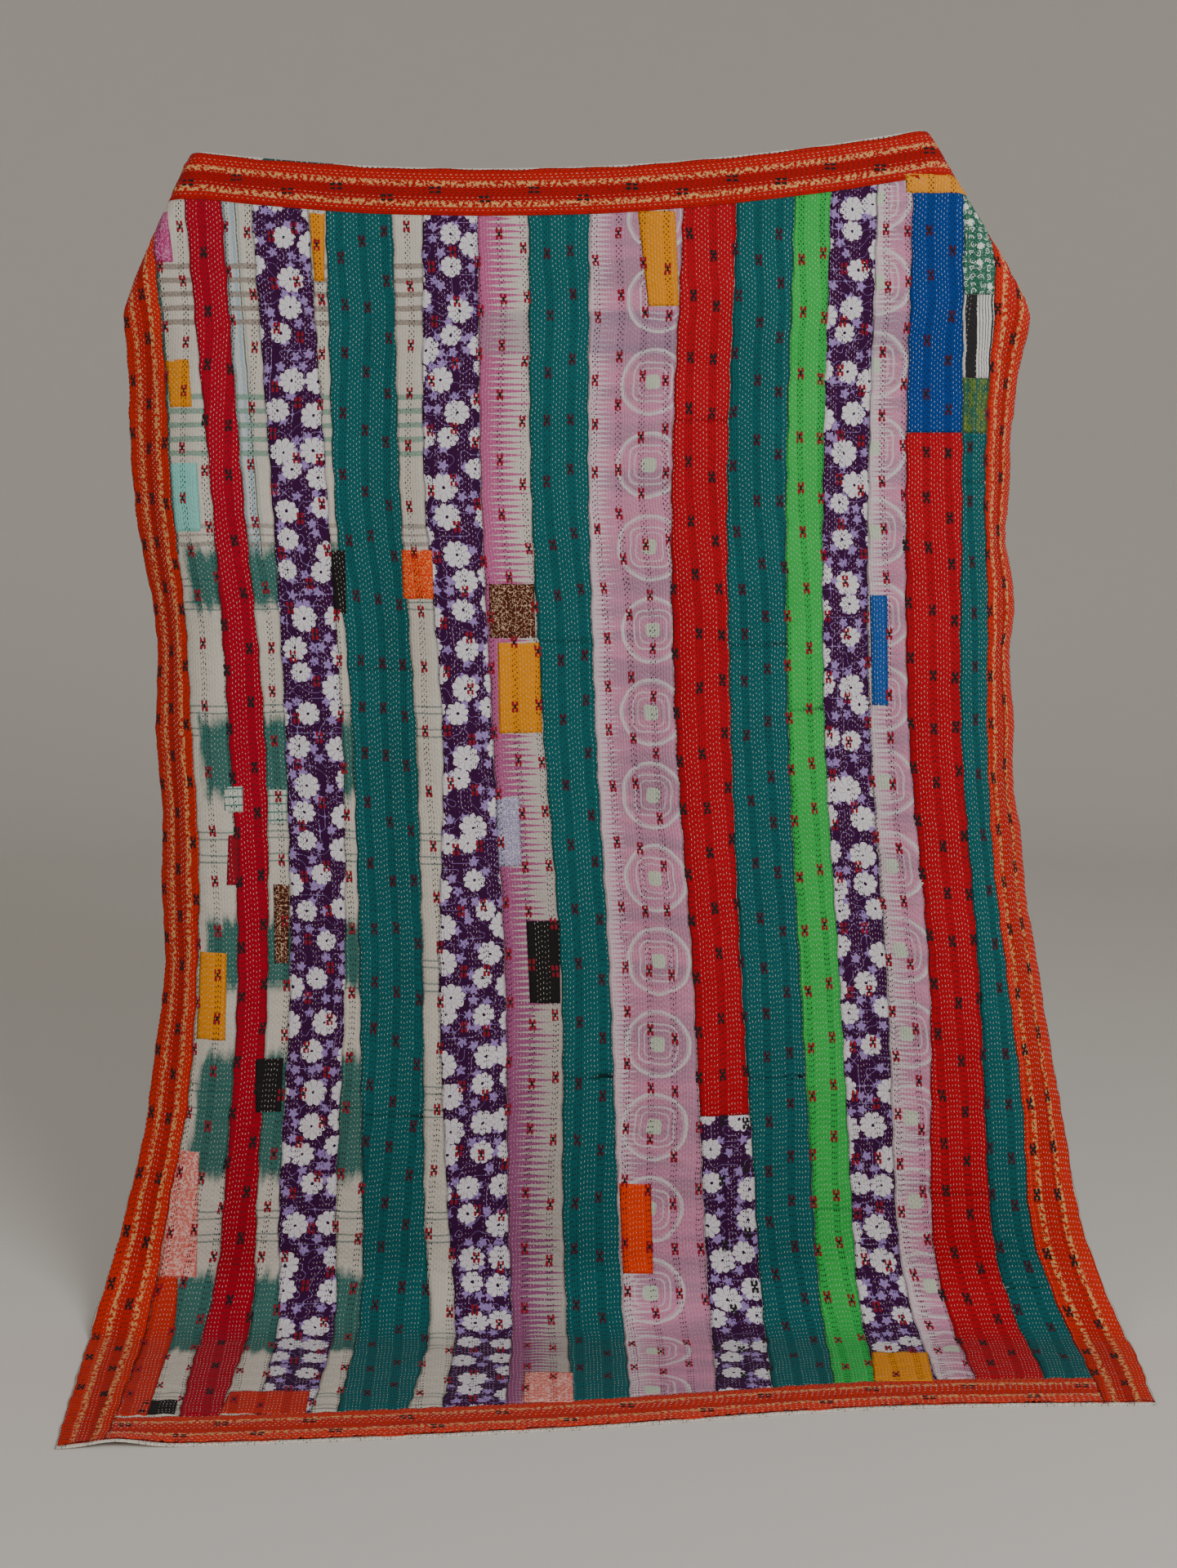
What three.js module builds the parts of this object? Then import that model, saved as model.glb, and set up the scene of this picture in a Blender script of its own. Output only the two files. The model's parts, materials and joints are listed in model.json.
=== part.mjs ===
// A kantha quilt: strips of worn sari cotton sewn side by side on a ground cloth, framed by a red border,
// and run through with rows of hand quilting. It hangs from two hand-holds near its top corners, which are
// folded back behind it, and its last quarter metre lies forward on the floor.
//
// Millimetres, +Z up. The origin is on the top edge, half-way between the hand-holds. The front faces -Y.
// The cloth is laid out by two coordinates:
//   across  0 at the left edge, and one more at the far edge of each piece, so 2.5 is half-way over piece 2
//   level   the way down the cloth below the origin, on over the bend and out along the floor

import * as THREE from 'three';

// ---------------------------------------------------------------- driving sizes

const HANG = 1807;          // from the origin down to the floor
const BEND = 100;           // radius of the cloth's turn on to the floor
const GROUND = 2.0;         // thickness of the ground cloth
const PIECE = 1.1;          // thickness of a sewn piece along its seams
const CROWN = 0.8;          // how far the quilting lifts a piece between its seams
const GAP = 0.3;            // between a piece and the ground cloth
const SEAM = 0.4;           // between two pieces side by side
const TOP_BORDER = 75;      // width of the border along the top
const FOOT_BORDER = 85;     // width of the border along the floor
const FOLD_RADIUS = 26;     // of the two corners folded back

const BEND_START = HANG - BEND;
const BEND_END = BEND_START + BEND * Math.PI / 2;

// Levels at which one length of cloth is joined to the next in the same strip
const BLUE_END = 419;
const PRINT_END = 203;
const STRIPE_END = 333;
const OLIVE_END = 419;
const RED_END = 1487;

// Rows of the mesh: how many spans between one of these levels and the next
const TOP_BORDER_SPANS = 3;
const SHOULDER_SPANS = 4;
const HANG_SPANS = [
  { from: PRINT_END, to: STRIPE_END, spans: 3 },
  { from: STRIPE_END, to: BLUE_END, spans: 1 },
  { from: BLUE_END, to: RED_END, spans: 11 },
  { from: RED_END, to: BEND_START, spans: 2 },
  { from: BEND_START, to: BEND_END, spans: 4 },
];
const FLOOR_SPANS = 2;
const FOOT_BORDER_SPANS = 2;

// ---------------------------------------------------------------- how the cloth hangs

// Both sides at each level: the cut edge, the seam inside its border, how far the edge is turned back,
// and the depth of the soft ripples between them
const SIDES = [
  { level: -60, leftEdge: -740, leftSeam: -668, rightSeam: 661, rightEdge: 738, leftBack: 0, rightBack: 0, ripple: 0 },
  { level: 125, leftEdge: -728, leftSeam: -655, rightSeam: 662, rightEdge: 734, leftBack: 0, rightBack: 6, ripple: 4 },
  { level: 235, leftEdge: -712, leftSeam: -645, rightSeam: 662, rightEdge: 727, leftBack: 20, rightBack: 34, ripple: 8 },
  { level: 320, leftEdge: -706, leftSeam: -639, rightSeam: 658, rightEdge: 712, leftBack: 42, rightBack: 70, ripple: 11 },
  { level: 510, leftEdge: -702, leftSeam: -628, rightSeam: 653, rightEdge: 700, leftBack: 52, rightBack: 98, ripple: 15 },
  { level: 700, leftEdge: -669, leftSeam: -607, rightSeam: 656, rightEdge: 706, leftBack: 66, rightBack: 98, ripple: 18 },
  { level: 890, leftEdge: -662, leftSeam: -595, rightSeam: 654, rightEdge: 706, leftBack: 64, rightBack: 98, ripple: 20 },
  { level: 1085, leftEdge: -654, leftSeam: -584, rightSeam: 661, rightEdge: 720, leftBack: 66, rightBack: 92, ripple: 19 },
  { level: 1275, leftEdge: -652, leftSeam: -589, rightSeam: 682, rightEdge: 745, leftBack: 64, rightBack: 74, ripple: 16 },
  { level: 1470, leftEdge: -672, leftSeam: -603, rightSeam: 705, rightEdge: 774, leftBack: 54, rightBack: 46, ripple: 11 },
  { level: 1660, leftEdge: -708, leftSeam: -637, rightSeam: 718, rightEdge: 803, leftBack: 30, rightBack: 14, ripple: 4 },
  { level: 1790, leftEdge: -737, leftSeam: -652, rightSeam: 755, rightEdge: 841, leftBack: 0, rightBack: 0, ripple: 0 },
  { level: 1870, leftEdge: -733, leftSeam: -648, rightSeam: 763, rightEdge: 848, leftBack: 0, rightBack: 0, ripple: 0 },
  { level: 2140, leftEdge: -698, leftSeam: -629, rightSeam: 749, rightEdge: 817, leftBack: 0, rightBack: 0, ripple: 0 },
];
const LEFT_TURN = 135;      // how far in from the left edge the turn-back reaches
const RIGHT_TURN = 105;     // and from the right edge
const TURN_POWER = 1.6;
const RIPPLE_LENGTH = 430;  // from crest to crest
const RIPPLE_DRIFT = 0.0011; // how the crests slide sideways on the way down, in radians a millimetre

// The strips from left to right: the place of each one's left seam at these levels down the cloth
const SEAM_LEVELS = [125, 510, 890, 1275, 1660, 1850, 2140];
const STRIPS = [
  { name: 'strip_cream_left', spans: 3, colour: 0xbdb6aa, seam: 'left' },
  { name: 'strip_crimson', spans: 2, colour: 0x9c0f1c, seam: [-600, -563, -536, -524, -548, -564, -540] },
  { name: 'strip_cream_plaid', spans: 1, colour: 0xb9b5ac, seam: [-544, -515, -483, -479, -495, -494, -486] },
  { name: 'strip_purple_floral_1', spans: 2, colour: 0x4a2256, seam: [-498, -471, -451, -444, -460, -450, -434] },
  { name: 'strip_cream_narrow', spans: 1, colour: 0xc4bdb0, seam: [-410, -385, -361, -356, -370, -363, -362] },
  { name: 'strip_teal_1', spans: 2, colour: 0x14655f, seam: [-385, -374, -346, -333, -328, -328, -326] },
  { name: 'strip_cream_middle', spans: 1, colour: 0xbfb8ab, seam: [-280, -269, -243, -232, -230, -218, -229] },
  { name: 'strip_purple_floral_2', spans: 2, colour: 0x4a2256, seam: [-234, -230, -201, -207, -193, -178, -181] },
  { name: 'strip_mauve_ikat', spans: 2, colour: 0xb47f97, seam: [-147, -142, -124, -105, -100, -91, -92] },
  { name: 'strip_teal_2', spans: 2, colour: 0x14655f, seam: [-68, -64, -45, -17, -14, -6, 6] },
  { name: 'strip_pink_rings_1', spans: 3, colour: 0xc98aa6, seam: [27, 26, 37, 59, 73, 81, 87] },
  { name: 'strip_red_1', spans: 2, colour: 0xae1a1a, seam: [172, 156, 163, 189, 207, 215, 203],
    next: [{ name: 'strip_purple_floral_foot', after: RED_END, colour: 0x4a2256 }] },
  { name: 'strip_teal_3', spans: 2, colour: 0x14655f, seam: [256, 243, 248, 265, 289, 296, 282] },
  { name: 'strip_green', spans: 1, colour: 0x45b05c, seam: [346, 334, 338, 357, 380, 387, 371] },
  { name: 'strip_purple_floral_3', spans: 2, colour: 0x4a2256, seam: [403, 393, 396, 420, 440, 448, 439] },
  { name: 'strip_pink_rings_2', spans: 1, colour: 0xc98aa6, seam: [476, 466, 470, 495, 509, 531, 526] },
  { name: 'strip_blue', spans: 3, colour: 0x1a4a8c, seam: [532, 524, 529, 559, 563, 587, 582],
    next: [{ name: 'strip_red_2', after: BLUE_END, colour: 0xae1a1a }] },
  { name: 'strip_green_print', spans: 2, colour: 0x2f6a52, seam: [614, 612, 609, 636, 657, 690, 681],
    next: [
      { name: 'strip_black_white', after: PRINT_END, colour: 0x55524f },
      { name: 'strip_olive_ikat', after: STRIPE_END, colour: 0x4b6b2c },
      { name: 'strip_teal_edge', after: OLIVE_END, colour: 0x14655f },
    ] },
];
const BORDER_SPANS = 3;
const BORDER_COLOUR = 0xc8402a;
const GROUND_COLOUR = 0xe6e1d6;
const LEFT_BORDER = 0;
const RIGHT_BORDER = STRIPS.length + 1;

// The top edge sags between the hand-holds: its height over the origin is a parabola, level past each hold
const HOLD = { left: -580, right: 560 };
const SAG = { middle: -3, tilt: 0.035, curve: 0.000131 };

// How far the foot of the cloth lies forward of the hanging part, at places along it
const FOOT = [
  { x: -740, reach: 433 },
  { x: -450, reach: 420 },
  { x: 0, reach: 377 },
  { x: 430, reach: 315 },
  { x: 860, reach: 300 },
];
const FOOT_LIFT = { x: -610, width: 45, height: 9, depth: 90 };  // one small pucker of the foot off the floor

// The folded corners: each fold runs from the top edge down to the side edge
const FOLDS = [
  { top: [-602, 17], side: [-709, -219], outward: -1 },
  { top: [560, 57], side: [719, -214], outward: 1 },
];

// ---------------------------------------------------------------- the surface

// A smooth curve through points (at[i], values[i]), carried on straight past both ends
function smooth(at, values, where) {
  let i = 0;
  while (i < at.length - 2 && where > at[i + 1]) i++;
  const slope = (k) => {
    const a = Math.max(0, k - 1);
    const b = Math.min(at.length - 1, k + 1);
    return (values[b] - values[a]) / (at[b] - at[a]);
  };
  const span = at[i + 1] - at[i];
  const u = (where - at[i]) / span;
  if (u < 0) return values[i] + slope(i) * (where - at[i]);
  if (u > 1) return values[i + 1] + slope(i + 1) * (where - at[i + 1]);
  const w = u * u * (3 - 2 * u);
  const rise = slope(i) * span * u * (1 - u) * (1 - u);
  const fall = slope(i + 1) * span * u * u * (1 - u);
  return values[i] * (1 - w) + values[i + 1] * w + rise - fall;
}

const SIDE_LEVELS = SIDES.map((row) => row.level);
const side = (column, level) => smooth(SIDE_LEVELS, SIDES.map((row) => row[column]), level);

// Where the left seam of piece k lies; piece 0 is the left border and the last is the right border
function seamX(k, level) {
  if (k === LEFT_BORDER) return side('leftEdge', level);
  if (k === LEFT_BORDER + 1) return side('leftSeam', level);
  if (k === RIGHT_BORDER) return side('rightSeam', level);
  if (k > RIGHT_BORDER) return side('rightEdge', level);
  return smooth(SEAM_LEVELS, STRIPS[k - 1].seam, level);
}

function acrossX(across, level) {
  const k = Math.min(RIGHT_BORDER, Math.max(0, Math.floor(across)));
  const left = seamX(k, level);
  return left + (seamX(k + 1, level) - left) * (across - k);
}

// How far the cloth hangs behind (+) or before (-) the plane of the hand-holds
function depth(x, level) {
  const turn = (inward, reach) => Math.max(0, 1 - inward / reach) ** TURN_POWER;
  const left = side('leftBack', level) * turn(x - side('leftEdge', level), LEFT_TURN);
  const right = side('rightBack', level) * turn(side('rightEdge', level) - x, RIGHT_TURN);
  const phase = 2 * Math.PI * x / RIPPLE_LENGTH;
  const wave = Math.sin(phase + RIPPLE_DRIFT * level) + 0.35 * Math.sin(2.3 * phase - RIPPLE_DRIFT * level);
  return left + right + Math.max(0, side('ripple', level)) * wave * 0.8;
}

// Rolls a point of the hanging plane back over each corner's fold
function rollBack(x, z) {
  for (const fold of FOLDS) {
    const run = new THREE.Vector2(fold.side[0] - fold.top[0], fold.side[1] - fold.top[1]).normalize();
    const out = new THREE.Vector2(-run.y, run.x).multiplyScalar(fold.outward);
    const past = (x - fold.top[0]) * out.x + (z - fold.top[1]) * out.y + FOLD_RADIUS;
    if (past <= 0) continue;
    const turn = Math.min(Math.PI, past / FOLD_RADIUS);
    const beyond = past - turn * FOLD_RADIUS;
    const shift = FOLD_RADIUS * Math.sin(turn) - beyond - past;
    return { x: x + out.x * shift, z: z + out.y * shift, back: FOLD_RADIUS * (1 - Math.cos(turn)) };
  }
  return { x, z, back: 0 };
}

// The middle of the ground cloth's thickness
function surface(across, level) {
  const x = acrossX(across, level);
  const floor = -HANG + GROUND / 2;
  if (level <= BEND_START) {
    const at = rollBack(x, -level);
    return new THREE.Vector3(at.x, depth(at.x, -at.z) + at.back, at.z + GROUND / 2);
  }
  if (level <= BEND_END) {
    const turn = (level - BEND_START) / BEND;
    const y = depth(x, level) - BEND * (1 - Math.cos(turn));
    return new THREE.Vector3(x, y, floor + BEND * (1 - Math.sin(turn)));
  }
  const y = -BEND - (level - BEND_END);
  const pucker = Math.exp(-(((x - FOOT_LIFT.x) / FOOT_LIFT.width) ** 2));
  const near = Math.max(0, 1 - (footLevel(across) - level) / FOOT_LIFT.depth) ** 2;
  return new THREE.Vector3(x, y, floor + FOOT_LIFT.height * pucker * near);
}

function front(across, level) {
  const step = 0.02;
  const a = surface(across + step, level).sub(surface(across - step, level));
  const b = surface(across, level + 1).sub(surface(across, level - 1));
  return b.cross(a).normalize();
}

function topLevel(across) {
  const x = Math.min(HOLD.right, Math.max(HOLD.left, acrossX(across, 0)));
  return -(SAG.middle + SAG.tilt * x + SAG.curve * x * x);
}

function footLevel(across) {
  const reach = smooth(FOOT.map((row) => row.x), FOOT.map((row) => row.reach), acrossX(across, SEAM_LEVELS.at(-1)));
  return BEND_END + reach - BEND;
}

// ---------------------------------------------------------------- rows and columns

const between = (from, to, spans) => Array.from({ length: spans }, (_, i) => from + (to - from) * (i + 1) / spans);

// Every row is a function that gives its level at a place across the cloth
const topBorderRows = [0, ...between(0, TOP_BORDER, TOP_BORDER_SPANS)].map((d) => (across) => topLevel(across) + d);
const shoulderRows = between(0, 1, SHOULDER_SPANS).map((part) => (across) => {
  const from = topLevel(across) + TOP_BORDER;
  return from + (PRINT_END - from) * part;
});
const hangRows = HANG_SPANS.flatMap((row) => between(row.from, row.to, row.spans)).map((level) => () => level);
const floorRows = between(0, 1, FLOOR_SPANS).map((part) => (across) =>
  BEND_END + (footLevel(across) - FOOT_BORDER - BEND_END) * part);
const footBorderRows = between(-FOOT_BORDER, 0, FOOT_BORDER_SPANS).map((d) => (across) => footLevel(across) + d);

const stripRows = [topBorderRows.at(-1), ...shoulderRows, ...hangRows, ...floorRows];
const allRows = [...topBorderRows.slice(0, -1), ...stripRows, ...footBorderRows];

const spansOf = (k) => (k === LEFT_BORDER || k === RIGHT_BORDER ? BORDER_SPANS : STRIPS[k - 1].spans);
const columnsOf = (k) => [k, ...between(k, k + 1, spansOf(k))];
const columnsFrom = (first, last) => {
  const columns = [first];
  for (let k = first; k <= last; k++) columns.push(...columnsOf(k).slice(1));
  return columns;
};

// ---------------------------------------------------------------- solids

// A closed sheet over these columns and rows, from one height off the middle surface to another.
// sideInset and endInset draw its four edges in, and crown lifts the points between them.
function sheet({ columns, rows, from, to, sideInset = 0, endInset = 0, crown = 0 }) {
  const last = { c: columns.length - 1, r: rows.length - 1 };
  const places = [];
  for (let r = 0; r <= last.r; r++) {
    for (let c = 0; c <= last.c; c++) {
      let across = columns[c];
      let level = rows[r](across) + (r === 0 ? endInset : r === last.r ? -endInset : 0);
      const k = Math.min(RIGHT_BORDER, Math.floor(c === last.c ? across - 0.5 : across));
      const width = seamX(k + 1, level) - seamX(k, level);
      if (c === 0) across += sideInset / width;
      if (c === last.c) across -= sideInset / width;
      const raised = c > 0 && c < last.c && r > 0 && r < last.r ? crown : 0;
      places.push({ point: surface(across, level), normal: front(across, level), raised });
    }
  }
  const points = [];
  const layer = (height, lift) => {
    for (const { point, normal, raised } of places) {
      points.push(point.clone().addScaledVector(normal, height + (lift ? raised : 0)));
    }
  };
  layer(to, true);
  layer(from, false);

  const wide = last.c + 1;
  const behind = places.length;
  const index = [];
  for (let r = 0; r < last.r; r++) {
    for (let c = 0; c < last.c; c++) {
      const a = r * wide + c;
      const [b, d, e] = [a + 1, a + wide, a + wide + 1];
      // the diagonal of each cell leans the way that the near corner is folded
      const leansLeft = columns[c] < (RIGHT_BORDER + 1) / 2;
      const halves = leansLeft ? [[a, d, b], [b, d, e]] : [[a, d, e], [a, e, b]];
      for (const [p, q, s] of halves) index.push(p, q, s, p + behind, s + behind, q + behind);
    }
  }
  // walls that face each other across a seam are split along the same diagonal
  const wall = (p, q) => index.push(p, q, q + behind, p, q + behind, p + behind);
  const facingWall = (p, q) => index.push(p, q, p + behind, q, q + behind, p + behind);
  for (let c = 0; c < last.c; c++) {
    wall(c, c + 1);
    facingWall(last.r * wide + c + 1, last.r * wide + c);
  }
  for (let r = 0; r < last.r; r++) {
    facingWall((r + 1) * wide, r * wide);
    wall(r * wide + last.c, (r + 1) * wide + last.c);
  }
  const geometry = new THREE.BufferGeometry();
  geometry.setAttribute('position', new THREE.Float32BufferAttribute(points.flatMap((p) => p.toArray()), 3));
  geometry.setIndex(index);
  geometry.computeVertexNormals();
  return geometry;
}

// ---------------------------------------------------------------- the quilt

const quilt = new THREE.Group();
quilt.name = 'kantha_quilt';

function add(name, colour, geometry) {
  const material = new THREE.MeshStandardMaterial({ color: colour, roughness: 0.9, metalness: 0 });
  const mesh = new THREE.Mesh(geometry, material);
  mesh.name = name;
  quilt.add(mesh);
}

const under = GROUND / 2;
const sewn = { from: under + GAP, to: under + GAP + PIECE, sideInset: SEAM / 2, endInset: SEAM / 2, crown: CROWN };

function addGround() {
  const columns = columnsFrom(LEFT_BORDER, RIGHT_BORDER);
  add('ground_cloth', GROUND_COLOUR, sheet({ columns, rows: allRows, from: -under, to: under }));
}

function addBorders() {
  const whole = columnsFrom(LEFT_BORDER, RIGHT_BORDER);
  add('border_top', BORDER_COLOUR, sheet({ ...sewn, columns: whole, rows: topBorderRows }));
  const sideRows = [...stripRows, ...footBorderRows];
  add('border_left', BORDER_COLOUR, sheet({ ...sewn, columns: columnsOf(LEFT_BORDER), rows: sideRows }));
  add('border_right', BORDER_COLOUR, sheet({ ...sewn, columns: columnsOf(RIGHT_BORDER), rows: sideRows }));
  const inner = columnsFrom(LEFT_BORDER + 1, RIGHT_BORDER - 1);
  const footRows = [stripRows.at(-1), ...footBorderRows];
  add('border_foot', BORDER_COLOUR, sheet({ ...sewn, columns: inner, rows: footRows }));
}

// A strip is cut into lengths at its joins, each length a piece of its own
function addStrip(strip, k) {
  const lengths = [{ name: strip.name, colour: strip.colour }, ...(strip.next ?? [])];
  const middle = k + 0.5;
  lengths.forEach((length, i) => {
    const starts = length.after ?? -Infinity;
    const ends = lengths[i + 1]?.after ?? Infinity;
    const rows = stripRows.filter((row) => row(middle) >= starts - 0.01 && row(middle) <= ends + 0.01);
    add(length.name, length.colour, sheet({ ...sewn, columns: columnsOf(k), rows }));
  });
}

addGround();
addBorders();
STRIPS.forEach((strip, i) => addStrip(strip, i + 1));

export default quilt;
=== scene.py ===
# %% [markdown]
# # A kantha quilt
# A kantha is made from worn saris. Strips of old cotton are laid on a ground cloth, turned in at their edges,
# and held by hundreds of rows of running stitch that go through every layer. This notebook dresses the plain
# solids of such a quilt: it loads them as a frame, lays finer cloth over them, and then sews every stitch.

# %% The frame
import json
import math
from functools import partial

import bpy
import numpy as np
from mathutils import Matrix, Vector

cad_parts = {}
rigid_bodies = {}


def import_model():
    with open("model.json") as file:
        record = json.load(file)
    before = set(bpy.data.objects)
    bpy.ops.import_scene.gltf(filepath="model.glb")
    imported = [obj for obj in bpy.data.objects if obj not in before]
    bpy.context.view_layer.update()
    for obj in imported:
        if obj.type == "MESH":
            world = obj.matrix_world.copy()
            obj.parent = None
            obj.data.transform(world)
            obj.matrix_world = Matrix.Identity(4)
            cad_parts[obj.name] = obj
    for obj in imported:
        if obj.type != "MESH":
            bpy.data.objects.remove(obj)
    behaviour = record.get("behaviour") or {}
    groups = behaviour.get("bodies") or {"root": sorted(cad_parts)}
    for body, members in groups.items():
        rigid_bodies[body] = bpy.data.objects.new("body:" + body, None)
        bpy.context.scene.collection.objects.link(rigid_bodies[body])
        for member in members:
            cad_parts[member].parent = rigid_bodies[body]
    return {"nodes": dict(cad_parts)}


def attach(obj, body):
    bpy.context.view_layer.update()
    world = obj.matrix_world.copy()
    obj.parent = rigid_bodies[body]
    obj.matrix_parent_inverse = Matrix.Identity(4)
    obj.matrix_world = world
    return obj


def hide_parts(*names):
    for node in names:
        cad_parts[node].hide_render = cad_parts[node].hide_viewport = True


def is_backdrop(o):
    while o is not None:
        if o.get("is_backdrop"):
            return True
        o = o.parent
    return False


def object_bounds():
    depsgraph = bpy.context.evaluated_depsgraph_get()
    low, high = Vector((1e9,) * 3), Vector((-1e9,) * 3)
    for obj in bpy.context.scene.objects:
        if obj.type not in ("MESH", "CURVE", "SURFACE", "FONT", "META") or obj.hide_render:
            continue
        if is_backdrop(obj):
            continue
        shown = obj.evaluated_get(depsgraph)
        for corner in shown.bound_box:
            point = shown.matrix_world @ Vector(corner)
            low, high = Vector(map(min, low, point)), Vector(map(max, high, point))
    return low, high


for startup in list(bpy.data.objects):
    bpy.data.objects.remove(startup)
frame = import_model()
CAD_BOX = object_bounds()
MM = 0.001
SCENE = bpy.context.scene
print("nodes in the frame:", len(frame["nodes"]))

# %% [markdown]
# ## Two helpers
# Cloth colours are easiest to write as the sRGB hex codes of a paint chart, but Blender's sockets want linear
# light, so one function turns them. The other adds any node to any tree: it sets the node's own settings first,
# because they decide which sockets it has, and then fills the sockets in order with links, numbers or hex codes.


# %% Colour and node helpers
def colour(code):
    """An sRGB hex code as linear red, green, blue and alpha."""
    parts = [int(code[i : i + 2], 16) / 255 for i in (1, 3, 5)]
    return (*(p / 12.92 if p <= 0.04045 else ((p + 0.055) / 1.055) ** 2.4 for p in parts), 1.0)


def add(tree, kind, *values, named=None, **settings):
    """Add a node. A kind such as "Math ADD" or "Mix RGBA" also names its operation or its kind of data."""
    kind, _, choice = kind.partition(" ")
    made = tree.nodes.new(kind if "Node" in kind else "ShaderNode" + kind)
    if choice:
        setattr(made, "data_type" if kind == "Mix" else "operation", choice)
    for key, value in settings.items():
        setattr(made, key, value)
    shown = [socket for socket in made.inputs if socket.enabled]
    filled = [*zip(shown, values), *((made.inputs[key], value) for key, value in (named or {}).items())]
    for socket, value in filled:
        if isinstance(value, str) and value.startswith("#"):
            value = colour(value)
        if isinstance(value, bpy.types.Node):
            value = next(output for output in value.outputs if output.enabled)
        if isinstance(value, bpy.types.NodeSocket):
            tree.links.new(value, socket)
        elif value is not None:
            socket.default_value = value
    return made


# %% [markdown]
# ## How the cloth hangs
# The quilt is held at two points near its top corners, hangs like a curtain, and runs out along the floor.
# A cloth simulation would find some such shape, but not this one, so the drape is a function: it takes a place
# on the flat cloth and gives the point where that place hangs. *Across* counts the sewn pieces from the left
# edge, and *level* is the way down in millimetres. Short tables give the few sizes that change on the way down.

# %% Sizes of the drape, in millimetres
HANG, BEND, GROUND = 1807, 100, 2.0  # drop to the floor, radius of the turn on to it, thickness of the ground cloth
BEND_START = HANG - BEND
BEND_END = BEND_START + BEND * math.pi / 2
TOP_BORDER, FOOT_BORDER = 75, 85                    # widths
HOLD_LEFT, HOLD_RIGHT = -580, 560                   # where the two hands hold it
SAG_MIDDLE, SAG_TILT, SAG_CURVE = -3, 0.035, 0.000131       # the top edge between them, as a parabola
FOLD_RADIUS = 26                                    # of the fold that turns each top corner back
LEFT_TURN, RIGHT_TURN, TURN_POWER = 135, 105, 1.6   # widths of the edges that curve back, and how suddenly
RIPPLE_LENGTH, RIPPLE_DRIFT, RIPPLE_SHARE = 430, 0.0011, 0.8        # soft ripples that drift sideways as they fall
FINE_RIPPLES, FINE_SHARE = 2.3, 0.35                # finer ripples on each soft one, and their share of its depth
LIFT_X, LIFT_WIDTH, LIFT_HEIGHT, LIFT_DEPTH = -610, 45, 9, 90       # a pucker where the foot stands off the floor

# level, left edge and seam, right seam and edge, how far each edge is turned back, depth of the soft ripples
SIDES = np.array([
    (-60, -740, -668, 661, 738, 0, 0, 0),
    (125, -728, -655, 662, 734, 0, 6, 4),
    (235, -712, -645, 662, 727, 20, 34, 8),
    (320, -706, -639, 658, 712, 42, 70, 11),
    (510, -702, -628, 653, 700, 52, 98, 15),
    (700, -669, -607, 656, 706, 66, 98, 18),
    (890, -662, -595, 654, 706, 64, 98, 20),
    (1085, -654, -584, 661, 720, 66, 92, 19),
    (1275, -652, -589, 682, 745, 64, 74, 16),
    (1470, -672, -603, 705, 774, 54, 46, 11),
    (1660, -708, -637, 718, 803, 30, 14, 4),
    (1790, -737, -652, 755, 841, 0, 0, 0),
    (1870, -733, -648, 763, 848, 0, 0, 0),
    (2140, -698, -629, 749, 817, 0, 0, 0),
]).T
FOOT = np.array([(-740, 433), (-450, 420), (0, 377), (430, 315), (860, 300)]).T  # place across, reach forward

# Each strip's left seam at these levels
SEAM_LEVELS = np.array([125, 510, 890, 1275, 1660, 1850, 2140])
SEAMS = {
    "crimson": (-600, -563, -536, -524, -548, -564, -540),
    "cream_plaid": (-544, -515, -483, -479, -495, -494, -486),
    "purple_1": (-498, -471, -451, -444, -460, -450, -434),
    "cream_narrow": (-410, -385, -361, -356, -370, -363, -362),
    "teal_1": (-385, -374, -346, -333, -328, -328, -326),
    "cream_middle": (-280, -269, -243, -232, -230, -218, -229),
    "purple_2": (-234, -230, -201, -207, -193, -178, -181),
    "mauve": (-147, -142, -124, -105, -100, -91, -92),
    "teal_2": (-68, -64, -45, -17, -14, -6, 6),
    "rings_1": (27, 26, 37, 59, 73, 81, 87),
    "red_1": (172, 156, 163, 189, 207, 215, 203),
    "teal_3": (256, 243, 248, 265, 289, 296, 282),
    "green": (346, 334, 338, 357, 380, 387, 371),
    "purple_3": (403, 393, 396, 420, 440, 448, 439),
    "rings_2": (476, 466, 470, 495, 509, 531, 526),
    "blue": (532, 524, 529, 559, 563, 587, 582),
    "edge_prints": (614, 612, 609, 636, 657, 690, 681),
}
PLACE = {name: k for k, name in enumerate(["border_left", "cream_left", *SEAMS, "border_right"])}
LAST = PLACE["border_right"]
FOLDS = (((-602, 17), (-709, -219), -1), ((560, 57), (719, -214), 1))  # top end, side end, which way is out
print("pieces across:", len(PLACE))


# %% The drape as functions
def smooth(at, values, where):
    """A smooth curve through the values, carried on straight past both ends."""
    at, values, where = (np.asarray(a, float) for a in (at, values, where))
    i = np.clip(np.searchsorted(at, where) - 1, 0, len(at) - 2)
    low, high = np.maximum(np.arange(len(at)) - 1, 0), np.minimum(np.arange(len(at)) + 1, len(at) - 1)
    slope = (values[high] - values[low]) / (at[high] - at[low])
    span = at[i + 1] - at[i]
    u = (where - at[i]) / span
    w = u * u * (3 - 2 * u)
    curve = values[i] * (1 - w) + values[i + 1] * w
    curve += span * u * (1 - u) * (slope[i] * (1 - u) - slope[i + 1] * u)
    before = values[i] + slope[i] * (where - at[i])
    after = values[i + 1] + slope[i + 1] * (where - at[i + 1])
    return np.where(u < 0, before, np.where(u > 1, after, curve))


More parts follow.
